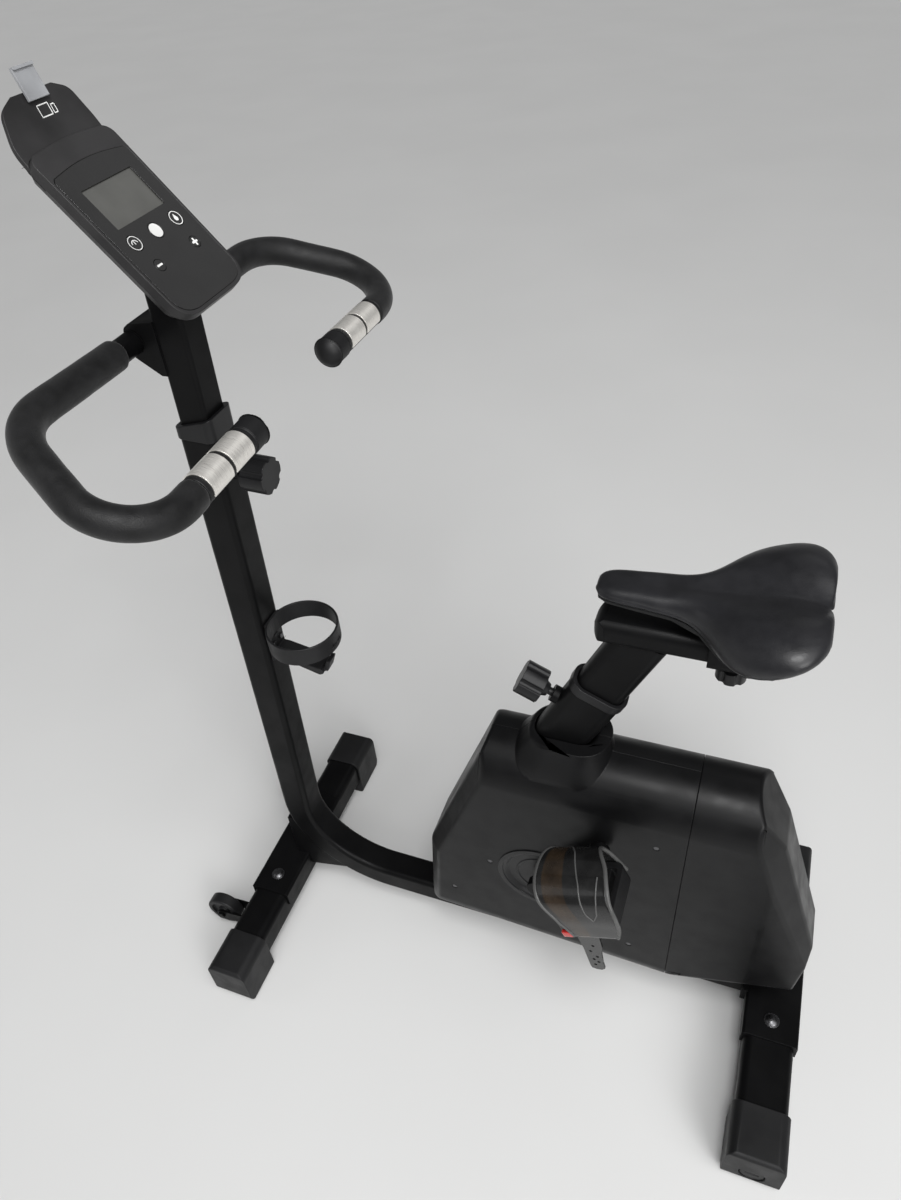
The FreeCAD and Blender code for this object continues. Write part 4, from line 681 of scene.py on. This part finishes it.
def make_prints(look):
    """Generic marks: rings and signs on the keys, a gauge, a drop and a tablet sign on the rest."""
    for name in ("mode", "reset"):
        across, along, radius = KEY_SPOTS[name]
        marks = ring_halves((across, along), radius - 0.5, radius - 1.3)
        if name == "mode":
            marks.append(band((across, along - 1.0), 4.4, 3.4, 10, 170, 20))
            marks.append(bar((across, along + 0.6), 0.5, 2.0))
        else:
            marks.append(drop((across, along), 3.4))
        printed("print_" + name, marks, BODY_OF["key_" + name], look)
    across, along, radius = KEY_SPOTS["enter"]
    disc = arc((across, along), radius - 0.7, 0, 345, 23)
    printed("print_enter", [disc], BODY_OF["key_enter"], look)
    across, along, radius = KEY_SPOTS["minus"]
    printed("print_minus", [bar((across, along), 3.9, 1.0)], BODY_OF["key_minus"], look)
    across, along, radius = KEY_SPOTS["plus"]
    cross = [bar((across, along), 4.0, 1.0), bar((across, along + 2.5), 1.0, 1.5),
             bar((across, along - 2.5), 1.0, 1.5)]
    printed("print_plus", cross, BODY_OF["key_plus"], look)
    sign = frame_outline((2.0, 117.0), 7.0, 4.6, 0.45) + frame_outline((14.0, 116.0), 2.2, 3.4, 0.4)
    printed("print_rest", sign, BODY_OF["console_back"], look, rest_height)


# ---------------------------------------------------------------- pedals
PEDAL_TILT = math.radians(25)    # toe down
STRAP_THICK = 3.0
STRAP_STEPS = 48         # along the band
STRAP_ROWS = 20          # across it, from its front edge to its rear edge
BROWN_ROWS = (2, 8)      # rows of the brown strip next to the front rim
RIM_RADIUS = 2.6
RIB_RADIUS = 1.0
RIB_STEPS = 6
STRAP_STATIONS = (       # over the foot from the inner side out: y, height, front edge, rear edge
    (93.6, -8.0, 22.0, -40.0), (93.6, 10.0, 24.0, -36.0), (95.0, 30.0, 30.0, -31.0),
    (102.0, 47.0, 36.0, -30.0), (118.0, 58.0, 40.0, -38.0), (140.0, 61.0, 41.0, -50.0),
    (162.0, 58.0, 39.0, -56.0), (179.0, 47.0, 33.0, -59.0), (186.5, 28.0, 20.0, -61.0),
    (187.4, 8.0, 12.0, -58.0), (187.4, -9.0, 7.0, -50.0),
)
RIB_LINE = (             # the moulded U: place along the stations, level x
    (3.0, 9.0), (4.0, -4.0), (5.0, -12.0), (6.0, -20.0), (7.0, -23.0), (7.7, -26.0),
    (8.15, -33.0), (7.7, -40.0), (7.0, -43.0), (6.2, -44.0), (5.6, -44.0),
)
TAIL_LINE = ((-26.0, -4.0), (4.0, -4.0), (7.0, -36.0), (14.0, -74.0), (14.0, -80.0), (9.0, -83.0),
             (2.0, -84.0), (-3.0, -81.0), (-6.0, -68.0), (-13.0, -46.0), (-19.0, -34.0))
TAIL_HOLES = ((-4.0, -54.0), (3.0, -60.0), (-1.0, -66.0), (6.0, -72.0), (-8.0, -30.0), (0.0, -42.0))
TAIL_HOLE_R = 2.0
TAIL_Y = 186.0
REFLECTOR_X = (9.0, 22.0)
REFLECTOR_Y = (184.2, 189.4)
REFLECTOR_Z = (-11.0, -1.0)
REFLECTOR_ROUND = 1.2


def at_pedal(side, x, y, z):
    """A point of the level left pedal, tilted toe down and moved to its spindle."""
    spindle = Vector(JOINTS[side + "_pedal_spin"]["pos_m"])
    sign = 1 if side == "left" else -1
    turned_x = x * math.cos(PEDAL_TILT) + z * math.sin(PEDAL_TILT)
    turned_z = z * math.cos(PEDAL_TILT) - x * math.sin(PEDAL_TILT)
    return Vector((spindle.x + turned_x * MM, sign * y * MM, spindle.z + turned_z * MM))


def station(t):
    """The strap at a place along its stations, on a smooth curve through them."""
    last = len(STRAP_STATIONS) - 1
    k = min(int(t), last - 1)
    u = t - k
    before, here, after, beyond = (
        STRAP_STATIONS[min(max(n, 0), last)] for n in (k - 1, k, k + 1, k + 2))
    values = []
    for a, b, c, d in zip(before, here, after, beyond):
        values.append(0.5 * (2 * b + (c - a) * u + (2 * a - 5 * b + 4 * c - d) * u ** 2
                             + (3 * b - a - 3 * c + d) * u ** 3))
    return values


def outward(t, lift):
    """Height and width of the strap's surface at a place, lifted outwards."""
    y0, z0 = station(max(t - 0.1, 0))[:2]
    y1, z1 = station(min(t + 0.1, len(STRAP_STATIONS) - 1))[:2]
    length = math.hypot(y1 - y0, z1 - z0)
    y, z = station(t)[:2]
    return y - (z1 - z0) / length * lift, z + (y1 - y0) / length * lift


def divided(line, steps):
    """The points of a line with more of them between, evenly spread in each part."""
    points = []
    for (t0, x0), (t1, x1) in zip(line, line[1:]):
        for step in range(steps):
            share = step / steps
            points.append((t0 + (t1 - t0) * share, x0 + (x1 - x0) * share))
    return points + [line[-1]]


def thickened(sheet):
    """Gives a strap's surface its thickness, half to each side."""
    wall = sheet.modifiers.new("wall", "SOLIDIFY")
    wall.thickness = STRAP_THICK * MM
    wall.offset = 0


def strap_band(side, look, brown):
    """The moulded band over the foot, with a brown strip behind its front rim."""
    bm = bmesh.new()
    last = len(STRAP_STATIONS) - 1
    grid = []
    for step in range(STRAP_STEPS + 1):
        y, z, front, rear = station(last * step / STRAP_STEPS)
        row = []
        for k in range(STRAP_ROWS + 1):
            x = front + (rear - front) * k / STRAP_ROWS
            row.append(bm.verts.new(at_pedal(side, x, y, z)))
        grid.append(row)
    for low, high in zip(grid, grid[1:]):
        for k in range(STRAP_ROWS):
            face = bm.faces.new((low[k], low[k + 1], high[k + 1], high[k]))
            face.material_index = 1 if BROWN_ROWS[0] <= k < BROWN_ROWS[1] else 0
    bmesh.ops.recalc_face_normals(bm, faces=bm.faces)
    name = side + "_strap_band"
    mesh = mesh_of(name, bm)
    kinds = [face.material_index for face in mesh.polygons]
    band_piece = new_piece(name, mesh, BODY_OF["pedal_" + side], look)
    mesh.materials.append(brown)
    for face, kind in zip(mesh.polygons, kinds):
        face.material_index = kind
    thickened(band_piece)
    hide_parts("pedal_" + side + "_strap")


def strap_tube(side, name, places, radius, look):
    """A round bead along places on the strap, given as (station, x, lift)."""
    curve = bpy.data.curves.new(side + name, "CURVE")
    curve.dimensions = "3D"
    curve.bevel_depth = radius * MM
    curve.bevel_resolution = 3
    curve.use_fill_caps = True
    spline = curve.splines.new("NURBS")
    spline.points.add(len(places) - 1)
    for knot, (t, x, lift) in zip(spline.points, places):
        y, z = outward(t, lift)
        knot.co = (*at_pedal(side, x, y, z), 1)
    spline.use_endpoint_u = True
    spline.order_u = 3
    curve.materials.append(look)
    bead = bpy.data.objects.new(side + name, curve)
    bpy.context.scene.collection.objects.link(bead)
    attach(bead, BODY_OF["pedal_" + side])


def strap_tail(side, look):
    """The loose end with its adjusting holes, flat against the pedal's outer side."""
    bm = bmesh.new()
    loops = [TAIL_LINE] + [arc(hole, TAIL_HOLE_R, 0, 330, 11) for hole in TAIL_HOLES]
    edges = []
    for points in loops:
        corners = [bm.verts.new(at_pedal(side, x, TAIL_Y, z)) for x, z in points]
        for k in range(len(corners)):
            edges.append(bm.edges.new((corners[k], corners[(k + 1) % len(corners)])))
    bmesh.ops.triangle_fill(bm, use_beauty=True, edges=edges)
    name = side + "_strap_tail"
    body = BODY_OF["pedal_" + side]
    tail = new_piece(name, mesh_of(name, bm), body, look, smooth=False)
    thickened(tail)


def reflector(side, look):
    """A red reflector clipped to the pedal's outer side, by the strap's front edge."""
    bm = bmesh.new()
    for x in REFLECTOR_X:
        for y in REFLECTOR_Y:
            for z in REFLECTOR_Z:
                bm.verts.new(at_pedal(side, x, y, z))
    bmesh.ops.convex_hull(bm, input=list(bm.verts))
    bmesh.ops.dissolve_limit(bm, angle_limit=0.01, verts=bm.verts, edges=bm.edges)
    name = side + "_reflector"
    piece = new_piece(name, mesh_of(name, bm), BODY_OF["pedal_" + side], look)
    bevel = piece.modifiers.new("bevel", "BEVEL")
    bevel.width = REFLECTOR_ROUND * MM
    bevel.segments = 3


def make_straps(looks):
    """Both straps: band, tail, reflector, the rims' beads and the moulded U."""
    last = len(STRAP_STATIONS) - 1
    for side in ("left", "right"):
        strap_band(side, looks["strap_plastic"], looks["strap_brown"])
        strap_tail(side, looks["strap_plastic"])
        reflector(side, looks["reflector"])
        # the rims and the moulded U take the paler grey, which paints the strap's highlights
        for name, edge in (("_strap_front_rim", 2), ("_strap_rear_rim", 3)):
            places = []
            for step in range(STRAP_STEPS + 1):
                t = last * step / STRAP_STEPS
                places.append((t, station(t)[edge], 0.0))
            strap_tube(side, name, places, RIM_RADIUS, looks["strap_rim_highlight"])
        rib = [(t, x, STRAP_THICK / 2) for t, x in divided(RIB_LINE, RIB_STEPS)]
        strap_tube(side, "_strap_rib", rib, RIB_RADIUS, looks["strap_rim_highlight"])


# ---------------------------------------------------------------- floor and the whole scene


def make_floor():
    """One wide flat floor at z = 0."""
    mesh = bpy.data.meshes.new("floor")
    half = FLOOR_HALF
    corners = [(-half, -half, 0), (half, -half, 0), (half, half, 0), (-half, half, 0)]
    mesh.from_pydata(corners, [], [(0, 1, 2, 3)])
    floor = bpy.data.objects.new("floor", mesh)
    bpy.context.scene.collection.objects.link(floor)
    mesh.materials.append(floor_material())


make_camera()
make_lights()
make_sun()
make_world()
make_floor()
looks = all_materials()
dress_nodes(looks)
make_saddle(looks["saddle_cover"])
make_grips(looks["foam"])
for cover in ("housing_left", "housing_right", "rear_cover"):
    rounded_cover(cover, looks["housing_plastic"])
make_prints(looks["print_white"])
make_straps(looks)
